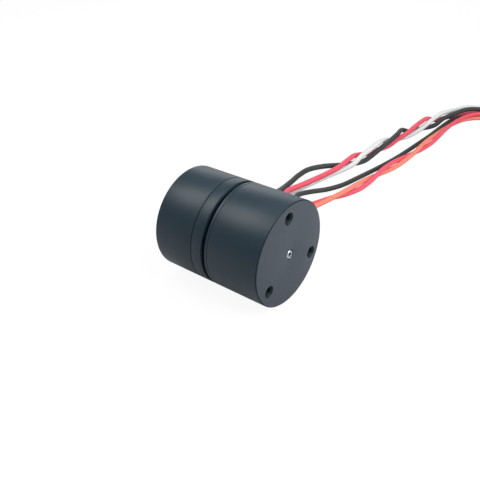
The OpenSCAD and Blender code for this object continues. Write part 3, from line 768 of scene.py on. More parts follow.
@dataclass(frozen=True)
class SoftBox:
    """One square lamp that faces the motor.

    Args:
        name: Name of the lamp.
        place: Where it hangs.
        side: Width and height.
        power: Power in watts.
        colour: Colour of its light.
    """

    name: str
    place: Point
    side: float
    power: float
    colour: Colour = (1.0, 1.0, 1.0)

    def hang(self, target: Vector) -> None:
        """Make the lamp and turn it to a target.

        Args:
            target: Place that it faces.
        """
        data = bpy.data.lights.new(self.name, "AREA")
        data.shape = "SQUARE"
        data.size = self.side * MM
        data.energy = self.power
        data.color = self.colour
        place_in_scene(data, Vector(self.place), target - Vector(self.place))


@dataclass
class Studio:
    """Camera, table and soft lamps.

    Args:
        eye: Place of the camera.
        look: Direction that the camera looks in.
        lens: Focal length, on a sensor 36 mm wide.
        table_half: Half the side of the table.
        table_drop: Gap that keeps the table clear of the motor.
        table_colour: Grey of the cloth, which takes the shadow.
        table_glow: Strength of the glow that makes the cloth white.
        glow_seen: Share of the glow where the camera or a window sees the table.
        glow_in_mirror: Share of the glow where a mirror sees it.
        room_light: Strength of the room's light.
        room_colour: Colour of the room's light.
        target: Middle of the motor, which the lamps face.
    """

    eye: Point = (86.553, -91.464, 69.621)
    look: Point = (-0.52648, 0.67115, -0.52190)
    lens: float = 44.09
    table_half: float = 1500.0
    table_drop: float = 0.02
    table_colour: Colour = (0.5, 0.5, 0.5)
    table_glow: float = 1.15
    glow_seen: float = 0.8
    glow_in_mirror: float = 0.1
    room_light: float = 0.42
    room_colour: Colour = (0.9, 0.95, 1.0)
    target: Point = (14, 0, 0)
    lamps: tuple[SoftBox, ...] = (
        SoftBox("key", (-200, -103, 328), 215, 0.46),
        SoftBox("back", (-250, 400, 140), 240, 0.17),
        SoftBox("top", (60, 60, 480), 700, 0.9),
        SoftBox("fill", (180, 45, 110), 160, 0.44, (0.9, 0.95, 1.0)),
    )

    def build(self) -> None:
        """Make the camera, the table, the world and the lamps."""
        self.camera()
        self.table()
        self.world()
        for lamp in self.lamps:
            lamp.hang(Vector(self.target))
        bpy.context.scene.view_settings.view_transform = "Standard"

    def camera(self) -> None:
        """Place the camera where the photograph was taken from."""
        data = bpy.data.cameras.new("camera")
        data.lens = self.lens
        data.sensor_width = 36
        data.clip_start = 0.005
        bpy.context.scene.camera = place_in_scene(data, Vector(self.eye), Vector(self.look))

    def table(self) -> None:
        """Lay a white table that keeps a faint shadow."""
        Bench.clear()
        bpy.ops.mesh.primitive_plane_add(
            size=2 * self.table_half * MM, location=(0, 0, (FLOOR_Z - self.table_drop) * MM)
        )
        table = Bench.settle(bpy.context.object, "table")
        material = bpy.data.materials.new("white_table")
        material.use_nodes = True
        # The glow is only to be seen, so the renderer doesn't use the table as a lamp
        material.cycles.emission_sampling = "NONE"
        nodes = NodeTree(material.node_tree)
        material.node_tree.nodes.remove(material.node_tree.nodes["Principled BSDF"])
        cloth = nodes.add("ShaderNodeBsdfDiffuse")
        cloth.inputs["Color"].default_value = (*self.table_colour, 1)
        glow = nodes.add("ShaderNodeEmission")
        glow.inputs["Strength"].default_value = self.table_glow
        seen, mirrored = nodes.light_path()
        share = nodes.math(
            "MAXIMUM", nodes.math("MULTIPLY", seen, self.glow_seen),
            nodes.math("MULTIPLY", mirrored, self.glow_in_mirror),
        )
        nodes.mix_onto(share, cloth, glow, "Material Output")
        table.data.materials.append(material)
        table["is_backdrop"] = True

    def world(self) -> None:
        """Fill the room with even, pale light, and show it white to the camera."""
        world = bpy.data.worlds.new("room")
        bpy.context.scene.world = world
        world.use_nodes = True
        nodes = NodeTree(world.node_tree)
        room = world.node_tree.nodes["Background"]
        room.inputs["Color"].default_value = (*self.room_colour, 1)
        room.inputs["Strength"].default_value = self.room_light
        wall = nodes.add("ShaderNodeBackground")
        wall.inputs["Color"].default_value = (1, 1, 1, 1)
        nodes.mix_onto(nodes.light_path()[0], room, wall, "World Output")


def place_in_scene(data: bpy.types.ID, place: Vector, ahead: Vector) -> Piece:
    """Put a camera or a lamp into the scene.

    Args:
        data: The camera or the lamp.
        place: Where it stands, in millimetres.
        ahead: Direction that it faces.

    Returns:
        Its object.
    """
    thing = bpy.data.objects.new(data.name, data)
    thing.location = place * MM
    thing.rotation_euler = ahead.to_track_quat("-Z", "Y").to_euler()
    bpy.context.scene.collection.objects.link(thing)
    return thing


# Connectors


@dataclass
class Connector:
    """What both three-way crimp housings share.

    Args:
        place: Where its lead end lies.
        heading: Its direction in degrees.
        length: Its length.
        pitch: Spacing of its pins.
        height: Its height.
        front_t: Thickness of the wall in front of the contacts.
        pin_hole: Side of the square hole for a pin.
        cell_round: Width of the rounded edges of a cell.
        hole_round: Width of the rounded edges of a pin hole.
    """

    place: Point
    heading: float
    length: float
    pitch: float
    height: float
    front_t: float = 1.0
    pin_hole: float = 0.9
    cell_round: float = 0.08
    hole_round: float = 0.05

    def open_cell(self, body: Piece, y: float, cavity: tuple[float, float]) -> None:
        """Cut the cell of one contact and the hole for its pin.

        Args:
            body: The housing.
            y: Middle of the cell across the housing.
            cavity: Width and height of the cell.
        """
        mid, hole = self.height / 2, self.pin_hole / 2
        Bench.cut_block(body, "cell", (-1, y - cavity[0] / 2, mid - cavity[1] / 2),
                        (self.length - self.front_t, y + cavity[0] / 2, mid + cavity[1] / 2), self.cell_round)
        Bench.cut_block(body, "pin_hole", (0, y - hole, mid - hole),
                        (self.length + 1, y + hole, mid + hole), self.hole_round)

    def lay_down(self, body: Piece) -> Piece:
        """Turn the housing, drawn from the origin along +X, to its heading and lay it on the table.

        Args:
            body: The housing.

        Returns:
            The same housing.
        """
        Bench.smooth(body, angle=30)
        body.rotation_euler = (0, 0, math.radians(self.heading))
        body.location = Vector(self.place) * MM
        return Bench.settle(body, body.name)


@dataclass
class PhaseConnector(Connector):
    """Black housing on the phase leads, with a window over each contact."""

    place: Point = (41.0, 168.0, FLOOR_Z)
    heading: float = 38.0
    length: float = 14.0
    pitch: float = 2.54
    height: float = 2.54
    side_t: float = 0.27
    window: tuple[float, float] = (2.0, 1.0)
    edge: float = 0.12
    groove_half: float = 0.09
    groove_h: float = 0.22
    groove_lows: tuple[float, float] = (-0.1, 2.42)

    def build(self) -> Piece:
        """Model the housing with its grooves, cells, windows and pin holes.

        Returns:
            The housing.
        """
        half = 1.5 * self.pitch
        body = Bench.block("phase_plug", (0, -half, 0), (self.length, half, self.height))
        for seam in (-0.5 * self.pitch, 0.5 * self.pitch):
            for low in self.groove_lows:
                Bench.cut_block(body, "groove", (-1, seam - self.groove_half, low),
                                (self.length + 1, seam + self.groove_half, low + self.groove_h))
        Bench.soften(body, self.edge, angle=60)
        cavity = self.pitch - 2 * self.side_t
        for pin in (-1, 0, 1):
            y = pin * self.pitch
            self.open_cell(body, y, (cavity, cavity))
            Bench.cut_block(body, "window", (self.length / 2, y - self.window[1] / 2, self.height / 2),
                            (self.length / 2 + self.window[0], y + self.window[1] / 2, self.height + 1))
        return self.lay_down(body)

    def dress(self, body: Piece) -> None:
        """Give the housing its black nylon."""
        BLACK_NYLON.on(body)
        keep(body, "housing", "black_sleeve", "phase_connector")


@dataclass
class EncoderConnector(Connector):
    """White housing on the encoder leads, with two guide ribs and recessed flanks."""

    place: Point = (46.0, 158.5, FLOOR_Z)
    heading: float = 28.0
    length: float = 9.8
    pitch: float = 2.5
    height: float = 5.75
    side: float = 2.4
    rib: tuple[float, float] = (1.0, 0.5)
    cavity: tuple[float, float] = (1.9, 2.4)
    edge: float = 0.16
    flank_len: float = 3.2
    flank_depth: float = 0.35
    flank_inset: float = 1.2

    def build(self) -> Piece:
        """Model the housing with its guide ribs, flanks, cells and pin holes.

        Returns:
            The housing.
        """
        half = self.pitch + self.side
        top = self.height - self.rib[1]
        body = Bench.block("encoder_plug", (0, -half, 0), (self.length, half, top))
        for side in (-1, 1):
            y, flank = side * self.pitch, side * half
            low, high = y - self.rib[0] / 2, y + self.rib[0] / 2
            rib = Bench.block("rib", (0, low, top - self.rib[1]), (self.length, high, self.height))
            Bench.combine(body, rib, "UNION")
            Bench.cut_block(
                body, "flank", (self.length - self.flank_len, flank - self.flank_depth, self.flank_inset),
                (self.length + 1, flank + self.flank_depth, top - self.flank_inset))
        Bench.soften(body, self.edge, angle=60)
        for pin in (-1, 0, 1):
            self.open_cell(body, pin * self.pitch, self.cavity)
        return self.lay_down(body)

    def dress(self, body: Piece) -> None:
        """Give the housing its white nylon."""
        WHITE_NYLON.on(body)
        keep(body, "housing", "white_nylon", "encoder_connector")


# Leads


@dataclass
class Lead:
    """One lead: its name, its row and place in the grommet, its pin, and its route on the table.

    Args:
        name: Name of the piece.
        node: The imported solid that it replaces.
        row: The row in the grommet.
        lead: Place in the row, from -1 to 1.
        pin: Pin in the connector, from -1 to 1.
        route: Places along the shaft, away from it, and heights over the table.
        finish: Its finish.
        slot: The record's material slot.
    """

    name: str
    node: str
    row: Exit
    lead: int
    pin: int
    route: list[Point]
    finish: Finish
    slot: str


@dataclass
class LeadSet:
    """The six leads, from their joints inside the motor to their connectors."""

    cover_len: float = 10.8
    cover_inner_r: float = 11.25
    grommet_outer_y: float = 13.0
    exit_x: float = 6.35
    phase_d: float = 1.7
    encoder_d: float = 1.5
    phase_row_z: float = 1.75
    phase_spacing: float = 1.95
    encoder_row_z: float = -3.75
    encoder_spacing: float = 1.65
    lead_y: float = 7.35
    bend_r: float = 3.4
    bend_steps: int = 4
    run_out: float = 1.8
    joint_inset: float = 1.4
    encoder_pad_y: float = 6.5
    slide_fit: float = 0.05
    pair_r: float = 0.82
    phase_plug: PhaseConnector = field(default_factory=PhaseConnector)
    encoder_plug: EncoderConnector = field(default_factory=EncoderConnector)
    crimp_inset: float = 2.6
    plug_straight: float = 4.0
    plug_fan: float = 9.0
    fan_share: float = 0.85
    steps: int = 8
    black_route: list[Point] = field(default_factory=lambda: [
        (5.8, 18, 15.1), (4.7, 22.5, 12.3), (3.2, 28, 8.4), (0.9, 35, 5.2), (-1.6, 42, 2.9),
        (-2.7, 48, 2.4), (-3.7, 54, 2.2), (-3.8, 60, 2.0), (-1.6, 66, 1.6), (2.1, 72, 1.0), (5.8, 78, 1.0),
        (6.1, 84, 1.0), (6.8, 90, 2.3), (7.2, 96, 3.2), (7.2, 102, 4.0), (6.1, 108, 3.4), (6.7, 114, 1.2),
        (8.8, 120, 1.0), (11.5, 126, 1.1), (12.6, 132, 2.4), (14.8, 138, 3.3), (17.4, 144, 3.9),
        (21.4, 149.4, 3.3), (25.8, 154.6, 2.0),
    ])
    red_route: list[Point] = field(default_factory=lambda: [
        (6.5, 18, 13.2), (6.4, 22.5, 10.7), (5.2, 28, 7.6), (3.1, 35, 4.8), (0.4, 42, 2.8), (1.3, 48, 2.6),
        (2.3, 54, 2.6), (3.2, 60, 2.6), (3.9, 66, 2.9), (4.1, 72, 3.6), (3.1, 78, 2.6), (4.0, 84, 1.4),
        (5.0, 90, 1.0), (6.6, 96, 1.0), (7.5, 102, 2.0), (8.6, 108, 3.0), (8.8, 114, 3.8), (8.9, 120, 4.1),
        (8.4, 126, 3.2), (9.5, 132, 1.2), (11.6, 138, 1.0), (14.5, 144, 1.0), (18.2, 150.2, 1.0),
        (22.3, 155.8, 1.2),
    ])
    white_route: list[Point] = field(default_factory=lambda: [
        (5.8, 18, 11.3), (4.6, 22.5, 8.5), (3.9, 28, 5.5), (2.2, 35, 2.7), (-0.5, 42, 1.0), (0.4, 48, 1.0),
        (1.3, 54, 1.0), (2.2, 60, 1.0), (3.4, 66, 1.0), (5.5, 72, 2.0), (5.5, 78, 3.0), (5.7, 84, 3.6),
        (5.8, 90, 4.1), (4.7, 96, 2.7), (5.4, 102, 1.3), (7.9, 108, 1.1), (9.4, 114, 1.6), (10.1, 120, 2.4),
        (10.6, 126, 3.4), (11.3, 132, 4.1), (12.2, 138, 3.6), (12.9, 144, 2.7), (15.0, 150.4, 2.5),
        (19.2, 156.9, 1.4),
    ])
    encoder_black_route: list[Point] = field(default_factory=lambda: [
        (6.5, 17.4, 9.9), (6.8, 21.5, 7.8), (7.0, 27, 5.9), (6.0, 34, 4.3), (4.8, 41, 3.2), (5.3, 47, 1.9),
        (7.4, 53, 1.0), (9.4, 59, 0.8), (10.6, 66, 0.8), (11.8, 74, 0.8), (12.8, 82, 0.8), (13.5, 90, 0.8),
        (13.8, 98, 0.8), (14.0, 106, 0.8), (14.2, 115, 0.8), (14.1, 124, 0.8), (14.1, 133, 0.8),
        (14.9, 140, 0.8), (17.7, 145.4, 0.8), (22.0, 149.4, 0.8), (26.8, 152.4, 1.0),
    ])
    pair: list[tuple[float, float, float, float]] = field(default_factory=lambda: [
        (6.5, 17.4, 7.2, 92), (7.2, 21.5, 5.0, 104), (8.3, 27, 3.7, 120), (9.8, 34, 2.7, 150),
        (10.8, 41, 2.0, 190), (12.1, 48, 1.7, 215), (13.6, 54, 1.6, 260), (14.6, 60, 1.6, 310),
        (14.9, 66, 1.6, 365), (15.1, 73, 1.6, 425), (15.9, 80, 1.6, 485), (16.5, 87, 1.6, 535),
        (16.9, 94, 1.6, 580), (17.1, 101, 1.6, 630), (17.2, 108, 1.6, 680), (17.0, 115, 1.6, 725),
        (16.7, 122, 1.6, 750), (16.8, 129, 1.6, 765), (17.4, 135, 1.6, 775), (18.6, 140.5, 1.6, 790),
        (21.2, 145.2, 1.6, 820), (25.4, 148.2, 1.6, 860), (30.6, 150.7, 2.0, 900),
    ])

    def leads(self) -> list[Lead]:
        """Give the six leads.

        Returns:
            The leads, the phase leads first.
        """
        return [
            Lead("lead_phase_black", "phase_wire_black", Exit.PHASE, 1, -1, self.black_route, LEAD_BLACK,
                 "black_silicone"),
            Lead("lead_phase_red", "phase_wire_red", Exit.PHASE, 0, 0, self.red_route, LEAD_RED,
                 "red_silicone"),
            Lead("lead_phase_white", "phase_wire_white", Exit.PHASE, -1, 1, self.white_route, LEAD_WHITE,
                 "white_silicone"),
            Lead("lead_encoder_black", "encoder_wire_black", Exit.ENCODER, 1, 1, self.encoder_black_route,
                 LEAD_BLACK, "black_silicone"),
            Lead("lead_encoder_red", "encoder_wire_red", Exit.ENCODER, 0, 0, self.wound(0), LEAD_RED,
                 "red_silicone"),
            Lead("lead_encoder_orange", "encoder_wire_orange", Exit.ENCODER, -1, -1, self.wound(180),
                 LEAD_ORANGE, "orange_silicone"),
        ]

    def wound(self, half_turn: float) -> list[Point]:
        """Give the route of one lead of the pair that wind round each other.

        Args:
            half_turn: 0 or 180 degrees.

        Returns:
            Its points over the table.
        """
        middle = [Vector(p[:3]) for p in self.pair]
        points = []
        for i, p in enumerate(middle):
            ahead = (middle[min(i + 1, len(middle) - 1)] - middle[max(i - 1, 0)]).normalized()
            side = ahead.cross(Vector((0, 0, 1))).normalized()
            turn = math.radians(self.pair[i][3] + half_turn)
            away = math.cos(turn) * side + math.sin(turn) * side.cross(ahead)
            points.append(tuple(p + self.pair_r * away))
        return points

    def into_plug(self, lead: Lead) -> list[Vector]:
        """Give the last stretch of a lead, fanned out and straight into its connector.

        Args:
            lead: The lead.

        Returns:
            Its last four points.
        """
        plug = self.phase_plug if lead.row is Exit.PHASE else self.encoder_plug
        x, y, floor = plug.place
        offset = lead.pin * plug.pitch
        turn = math.radians(plug.heading)
        ahead = Vector((math.cos(turn), math.sin(turn), 0))
        aside = Vector((-ahead.y, ahead.x, 0))
        mouth = Vector((x, y, floor + plug.height / 2)) + self.crimp_inset * ahead
        return [
            mouth - (self.crimp_inset + self.plug_fan) * ahead + self.fan_share * offset * aside,
            mouth - (self.crimp_inset + self.plug_straight) * ahead + offset * aside,
            mouth - self.crimp_inset * ahead + offset * aside,
            mouth + offset * aside,
        ]

    def knots(self, lead: Lead) -> list[Vector]:
        """Give the listed points of a lead from end to end.

        Args:
            lead: The lead.

        Returns:
            Its points in the frame of the model.
        """
        x, y = self.exit_x, self.lead_y
        if lead.row is Exit.PHASE:
            z = self.phase_row_z + lead.lead * self.phase_spacing
            inside = [(self.cover_len + self.joint_inset, y, z), (self.cover_len - self.slide_fit, y, z)]
            for step in range(self.bend_steps + 1):
                turn = math.radians(90 / self.bend_steps * step)
                back, out = 1 - math.sin(turn), 1 - math.cos(turn)
                inside.append((x + self.bend_r * back, y + self.bend_r * out, z))
        else:
            z = self.encoder_row_z + lead.lead * self.encoder_spacing
            middle_y = (self.encoder_pad_y + self.cover_inner_r) / 2
            inside = [(x, self.encoder_pad_y, z), (x, middle_y, z), (x, self.cover_inner_r, z)]
        inside += [(x, self.grommet_outer_y, z), (x, self.grommet_outer_y + self.run_out, z)]
        table = [(along, away, FLOOR_Z + height) for along, away, height in lead.route]
        return [Vector(place) for place in inside + table] + self.into_plug(lead)

    def line(self, lead: Lead) -> list[Vector]:
        """Give the smooth centre line of a lead.

        Args:
            lead: The lead.

        Returns:
            Closely spaced points.
        """
        p = self.knots(lead)
        p = [2 * p[0] - p[1], *p, 2 * p[-1] - p[-2]]
        points = []
        for a, b, c, d in zip(p, p[1:], p[2:], p[3:]):
            for k in range(self.steps):
                t = k / self.steps
                points.append(0.5 * (2 * b + (c - a) * t + (2 * a - 5 * b + 4 * c - d) * t * t
                                     + (3 * b - a - 3 * c + d) * t * t * t))
        return [*points, p[-2]]

    def tube(self, name: str, line: list[Vector], diameter: float) -> Piece:
        """Draw a lead as a round curve with closed ends.

        Args:
            name: Name of the piece.
            line: Its centre line.
            diameter: Its diameter.

        Returns:
            The lead.
        """
        data = bpy.data.curves.new(name, "CURVE")
        data.dimensions = "3D"
        data.bevel_depth = diameter / 2 * MM
        data.bevel_resolution = 6
        data.use_fill_caps = True
        spline = data.splines.new("POLY")
        spline.points.add(len(line) - 1)
        spline.use_smooth = True
        for place, point in zip(spline.points, line):
            place.co = (*(point * MM), 1)
        piece = bpy.data.objects.new(name, data)
        bpy.context.scene.collection.objects.link(piece)
        return piece

    def build(self, phase_pieces: list[Piece], encoder_pieces: list[Piece]) -> None:
        """Args:
            phase_pieces: The phase connector and its contacts. Not used.
            encoder_pieces: The encoder connector and its contacts. Not used.
        """
        for lead in self.leads():
            phase = lead.row is Exit.PHASE
            diameter = self.phase_d if phase else self.encoder_d
            line = self.line(lead)
            piece = self.tube(lead.name, line, diameter)
            lead.finish.on(piece)
            keep(piece, "housing", lead.slot, lead.node)


# Motor

SHELL_SIDES = 192
BROKEN_EDGE = 0.03
ROOT = 0.02
EDGE_BEVEL = 0.2
SEAM_BEVEL = 0.12
COVER_LEN = 10.8
WALL_T = 2.5
COVER_SCREWS = [(60.0, 9.0), (180.0, 9.0), (300.0, 9.0)]


def turned_shell(name: str, outline: Outline) -> Piece:
    """Turn the body of a shell and break its edges.

    Args:
        name: Name of the shell.
        outline: Its corners, as place and radius.

    Returns:
        The shell.
    """
    shell = Bench.lathe(name, outline, SHELL_SIDES)
    Bench.soften(shell, BROKEN_EDGE, angle=20)
    return shell


@dataclass
class TappedHole:
    """Tapped hole with a countersunk mouth, made as a cutter."""

    major_r: float = 1.25
    minor_r: float = 1.03
    pitch: float = 0.45
    mouth_r: float = 1.475
    mouth_depth: float = 0.22
    clear: float = 0.5
    run_out: float = 0.6

    def cutter(self, face: float, depth: float, side: Side) -> Piece:
        """Turn the cutter about the shaft's line.

        Args:
            face: Place of the face that the hole opens in.
            depth: How deep the thread goes.
            side: The way that the face looks.

        Returns:
            The cutter.
        """
        way = -side.value
        outside = face - way * self.clear
        outline = [(outside, 0.0), (outside, self.mouth_r + self.clear),
                   (face, self.mouth_r), (face + way * self.mouth_depth, self.major_r)]
        x = self.mouth_depth
        while x + self.pitch < depth:
            outline.append((face + way * (x + 0.5 * self.pitch), self.minor_r))
            outline.append((face + way * (x + self.pitch), self.major_r))
            x += self.pitch
        outline += [(face + way * depth, self.minor_r), (face + way * depth, 0.0)]
        return Bench.lathe("tapped_hole", outline, sides=40)

    def through(self, shell: Piece, face: float, side: Side, places: Places) -> None:
        """Drill holes right through the end wall of a shell.

        Args:
            shell: The shell.
            face: Place of the outer face.
            side: The way that the face looks.
            places: Direction and distance from the shaft of each hole.
        """
        hole = self.cutter(face, WALL_T + self.run_out, side)
        Bench.combine(shell, Bench.round_shaft(hole, "holes", places))


@dataclass
class RotorBell:
    """Rotor bell with three tapped holes in its face."""

    inner_r: float = 11.5
    from_x: float = 14.55
    to_x: float = 28.7
    hub_from: float = 24.9
    hub_r: float = 2.2
    bore_r: float = 1.01
    bore_bevel: float = 0.25
    line_from: float = 0.8
    line_w: float = 0.12
    line_depth: float = 0.06
    hole_pitch_r: float = 9.5
    first_hole: float = 97.0

    def build(self) -> Piece:
        """Turn the bell and drill its face.

        Returns:
            The bell.
        """
        r, a, b, e = OUTER_R, self.from_x, self.to_x, EDGE_BEVEL
        line = a + self.line_from
        shell = turned_shell("rotor_shell", [
            (self.hub_from, self.bore_r), (self.hub_from, self.hub_r), (b - WALL_T, self.hub_r),
            (b - WALL_T, self.inner_r), (a, self.inner_r), (a, r - e), (a + e, r), (line, r),
            (line + self.line_w / 2, r - self.line_depth), (line + self.line_w, r), (b - e, r), (b, r - e),
            (b, self.bore_r + self.bore_bevel), (b - self.bore_bevel, self.bore_r),
        ])
        TappedHole().through(shell, b, Side.FRONT, self.hole_places())
        Bench.smooth(shell)
        return shell

    def hole_places(self) -> Places:
        """Give the direction and the distance from the shaft of each tapped hole."""
        return [(self.first_hole + 120 * i, self.hole_pitch_r) for i in range(3)]

    def dress(self, shell: Piece) -> None:
        """Give the bell its black anodising, with painted light on its flat front face and painted shade on
        its edge slants and in its holes.

        Args:
            shell: The bell.
        """
        ANODISED.on(shell)
        # Painted light on the flat front face
        painted_light_x = (self.to_x - 0.01) * MM
        paint(shell, ANODISED_PAINTED_LIGHT, lambda face: face.normal.x > 0.999 and face.center.x > painted_light_x)
        # Painted shade on the outer edge slants and inside the tapped holes
        paint(shell, ANODISED_PAINTED_SHADE, PaintedShadeFaces(self.hole_places()))
        keep(shell, "rotor", "black_anodised", "rotor_bell")


@dataclass
class Shaft:
    """Ground shaft with a centre drilling in its front end."""

    radius: float = 1.0
    to_x: float = 28.6
    centre_r: float = 0.45
    centre_tip_r: float = 0.2475
    centre_depth: float = 0.6
    centre_bevel: tuple[float, float] = (0.1, 0.08)
    edge: float = 0.12

    def build(self) -> Piece:
        """Turn the shaft.

        Returns:
            The shaft.
        """
        low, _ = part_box("shaft")
        a, b, r, e = low.x / MM, self.to_x, self.radius, self.edge
        deep, wide = self.centre_bevel
        shaft = Bench.lathe("shaft_rod", [
            (a, 0.0), (a, r - e), (a + e, r), (b - e, r), (b, r - e), (b, self.centre_r + wide),
            (b - deep, self.centre_r), (b - self.centre_depth, self.centre_tip_r),
            (b - self.centre_depth, 0.0),
        ], sides=64)
        Bench.smooth(shaft)
        return shaft

    def in_centre(self, place: Vector) -> bool:
        """Say whether a place lies in the centre drilling, within a hair of its wall."""
        near = place.x > self.to_x - self.centre_depth - 0.01
        return near and math.hypot(place.y, place.z) < self.centre_r + 0.05

    def dress(self, shaft: Piece) -> None:
        """Give the shaft its ground steel, with painted shade in the centre drilling.

        Args:
            shaft: The shaft.
        """
        GROUND_STEEL.on(shaft)
        # Painted shade inside the centre drilling
        paint(shaft, STEEL_PAINTED_SHADE, lambda face: self.in_centre(face.center / MM))
        keep(shaft, "rotor", "bearing_steel", "shaft")


@dataclass
class StatorBase:
    """Stator base with its bearing tube, its spigot and the slot for the phase leads."""

    to_x: float = 13.85
    bearing_r: float = 3.01
    lip_r: float = 2.5
    rear_seat_to: float = 15.0
    front_seat: tuple[float, float] = (21.5, 24.5)
    shoulder: tuple[float, float] = (16.5, 4.5)
    tube_r: float = 4.0
    spigot: tuple[float, float, float] = (9.6, 11.2, 10.3)
    spigot_gap_r: float = 2.35
    tap_depth: float = 2.0
    slot_low: Point = (8.0, 6.25, -1.3)
    slot_high: Point = (14.9, 8.45, 4.8)
    slot_round: float = 0.2

    def build(self) -> Piece:
        """Turn the base, and cut its spigot, threads and slot.

        Returns:
            The base.
        """
        a, b, r, seam, edge = COVER_LEN, self.to_x, OUTER_R, SEAM_BEVEL, EDGE_BEVEL
        base = turned_shell("base_shell", [
            (a, self.bearing_r), (a, r - seam), (a + seam, r), (b - edge, r), (b, r - edge),
            (b, self.shoulder[1]), (self.shoulder[0], self.shoulder[1]), (self.shoulder[0], self.tube_r),
            (self.front_seat[1], self.tube_r), (self.front_seat[1], self.bearing_r),
            (self.front_seat[0], self.bearing_r), (self.front_seat[0], self.lip_r),
            (self.rear_seat_to, self.lip_r), (self.rear_seat_to, self.bearing_r),
        ])
        end, outer, inner = self.spigot
        root = a + ROOT
        ring = Bench.lathe("spigot", [(end, inner), (end, outer), (root, outer), (root, inner)], SHELL_SIDES)
        gap = Bench.lathe(
            "gap", [(a - 3, 0.0), (a - 3, self.spigot_gap_r), (a, self.spigot_gap_r), (a, 0.0)], sides=48)
        Bench.combine(ring, Bench.round_shaft(gap, "gaps", COVER_SCREWS))
        Bench.combine(base, ring, "UNION")
        tap = TappedHole(major_r=1.0, minor_r=0.86, pitch=0.4, mouth_r=1.1, mouth_depth=0.1)
        taps = Bench.round_shaft(tap.cutter(a, self.tap_depth, Side.REAR), "taps", COVER_SCREWS)
        Bench.combine(base, taps)
        Bench.cut_block(base, "slot", self.slot_low, self.slot_high, self.slot_round)
        Bench.smooth(base)
        return base

    def dress(self, base: Piece) -> None:
        """Give the base its black anodising, with painted shade on its outer edge slants.

        Args:
            base: The base.
        """
        ANODISED.on(base)
        # Painted shade on the outer edge slants
        paint(base, ANODISED_PAINTED_SHADE, PaintedShadeFaces())
        keep(base, "housing", "black_anodised", "stator_base")


@dataclass
class RearCover:
    """Rear cover with its mounting holes, screw seats, posts and the opening for the grommet."""

    inner_r: float = 11.25
    hole_pitch_r: float = 6.0
    holes: int = 4
    boss_r: float = 2.1
    seat_r: float = 2.02
    seat_depth: float = 1.22
    screw_r: float = 1.08
    posts: tuple[tuple[float, float], ...] = ((0.0, 4.9), (120.0, 8.6), (240.0, 8.6))
    post_r: float = 1.5
    post_to: float = 4.6
    post_bore_r: float = 0.8
    post_bore_from: float = 3.0
    sunk: float = 0.4
    opening_y: tuple[float, float] = (8.4, 13.5)
    opening_x: float = 6.35
    opening_z: float = -0.75
    opening_half: tuple[float, float] = (1.6, 5.8)

    def build(self) -> Piece:
        """Turn the cover, add its bosses and posts, and cut its holes.

        Returns:
            The cover.
        """
        r, n, w, seam, edge = OUTER_R, COVER_LEN, WALL_T, SEAM_BEVEL, EDGE_BEVEL
        cover = turned_shell("cover_shell", [
            (0.0, 0.0), (0.0, r - edge), (edge, r), (n - seam, r), (n, r - seam), (n, self.inner_r),
            (w, self.inner_r), (w, 0.0),
        ])
        TappedHole().through(cover, 0.0, Side.REAR, self.hole_places())
        foot, top = w - self.sunk, n - ROOT
        pillar = [(foot, 0.0), (foot, self.boss_r), (top, self.boss_r), (top, 0.0)]
        boss = Bench.lathe("boss", pillar, sides=64)
        Bench.combine(cover, Bench.round_shaft(boss, "bosses", COVER_SCREWS), "UNION")
        post = Bench.lathe("post", [
            (foot, 0.0), (foot, self.post_r), (self.post_to, self.post_r), (self.post_to, self.post_bore_r),
            (self.post_bore_from, self.post_bore_r), (self.post_bore_from, 0.0),
        ], sides=40)
        Bench.combine(cover, Bench.round_shaft(post, "posts", list(self.posts)), "UNION")
        seat = Bench.lathe("seat", [
            (-0.5, 0.0), (-0.5, self.seat_r + 0.58), (0.0, self.seat_r), (self.seat_depth, self.screw_r),
            (n + 1, self.screw_r), (n + 1, 0.0),
        ], sides=48)
        Bench.combine(cover, Bench.round_shaft(seat, "seats", COVER_SCREWS))
        Bench.combine(cover, self.opening())
        Bench.smooth(cover)
        return cover

    def hole_places(self) -> Places:
        """Give the direction and the distance from the shaft of each mounting hole."""
        return [((i + 0.5) * 360 / self.holes, self.hole_pitch_r) for i in range(self.holes)]

    def opening(self) -> Piece:
        """Make the cutter of the oval opening.

        Returns:
            The cutter.
        """
        half_x, half_z = self.opening_half
        straight = half_z - half_x
        low_y, high_y = self.opening_y
        cutter = Bench.block("opening", (self.opening_x - half_x, low_y, self.opening_z - straight),
                             (self.opening_x + half_x, high_y, self.opening_z + straight))
        for side in (-1, 1):
            Bench.clear()
            middle = Vector((self.opening_x, (low_y + high_y) / 2, self.opening_z + side * straight))
            bpy.ops.mesh.primitive_cylinder_add(
                vertices=64, radius=half_x * MM, depth=(high_y - low_y) * MM, location=middle * MM,
                rotation=(math.pi / 2, 0, 0))
            Bench.combine(cutter, Bench.settle(bpy.context.object, "end"), "UNION")
        return cutter

    def dress(self, cover: Piece) -> None:
        """Give the cover its black anodising, with painted shade on its outer edge slants and in its holes.

        Args:
            cover: The cover.
        """
        ANODISED.on(cover)
        # Painted shade on the outer edge slants and inside the mounting holes
        paint(cover, ANODISED_PAINTED_SHADE, PaintedShadeFaces(self.hole_places()))
        keep(cover, "housing", "black_anodised", "rear_cover")


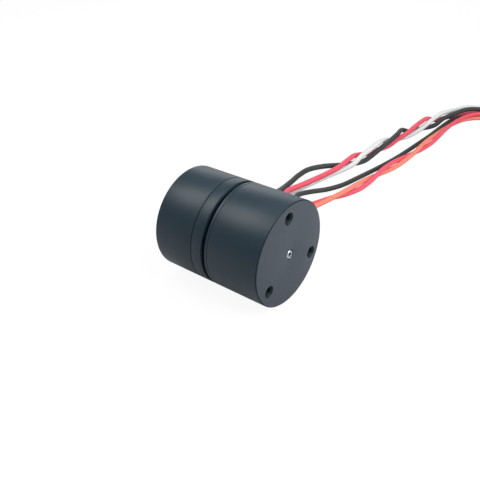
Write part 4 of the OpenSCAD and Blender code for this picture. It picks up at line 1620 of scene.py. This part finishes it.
class Refined:
    """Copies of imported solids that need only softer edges."""

    def build(self, node: str, name: str, edge: float) -> Piece:
        """Copy one solid and soften it.

        Args:
            node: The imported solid.
            name: Name of the piece.
            edge: Width of its rounded edges.

        Returns:
            The piece.
        """
        piece = Bench.copy_of(node, name)
        Bench.soften(piece, edge, angle=50)
        Bench.smooth(piece, angle=35)
        return piece

    def dress(self) -> None:
        """Make the refined pieces and give them their finishes."""
        for node, name, edge, finish, slot in (
            ("wire_grommet", "lead_grommet", 0.1, GROMMET_RUBBER, "grommet_rubber"),
            ("cover_screws", "cover_screw_set", 0.04, BLACK_SCREW, "blackened_steel"),
        ):
            piece = self.build(node, name, edge)
            finish.on(piece)
            keep(piece, "housing", slot, node)


class Inside:
    """Finishes of the solids that stay as they were packed."""

    finishes: dict[str, Finish] = {
        "plated_steel": MAGNET_PLATE, "bearing_steel": GROUND_STEEL, "brass": BRASS, "tinned_contact": TINNED,
        "holder_aluminium": ALUMINIUM, "blackened_steel": BLACK_SCREW, "core_steel": CORE_STEEL,
        "white_nylon": WHITE_NYLON, "enamelled_copper": COPPER, "black_sleeve": SHRINK_SLEEVE,
        "board_green": BOARD, "chip_black": CHIP, "component_tan": FIRED_CERAMIC,
        "grommet_rubber": GROMMET_RUBBER, "black_silicone": LEAD_BLACK, "red_silicone": LEAD_RED,
        "white_silicone": LEAD_WHITE, "orange_silicone": LEAD_ORANGE, "black_anodised": ANODISED,
    }

    def dress(self) -> None:
        """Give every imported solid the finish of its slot."""
        for row in frame["record"]["subparts"]:
            self.finishes[row["material_slot"]].on(frame["nodes"][row["node"]])


def corners() -> list[list[float]]:
    """Give the corners of all that is shown, as plain lists."""
    return [list(corner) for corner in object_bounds()]


def main() -> None:
    """Build the scene in order."""
    logging.basicConfig(level=logging.INFO, format="%(name)s: %(message)s")
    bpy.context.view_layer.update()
    Studio().build()
    Inside().dress()
    phase, encoder = PhaseConnector(), EncoderConnector()
    phase_plug, encoder_plug = phase.build(), encoder.build()
    phase.dress(phase_plug)
    encoder.dress(encoder_plug)
    LeadSet(phase_plug=phase, encoder_plug=encoder).build(
        [phase_plug, frame["nodes"]["phase_contacts"]], [encoder_plug, frame["nodes"]["encoder_contacts"]]
    )
    for maker in (RotorBell(), Shaft(), StatorBase(), RearCover()):
        maker.dress(maker.build())
    Refined().dress()


if __name__ == "__main__":
    main()
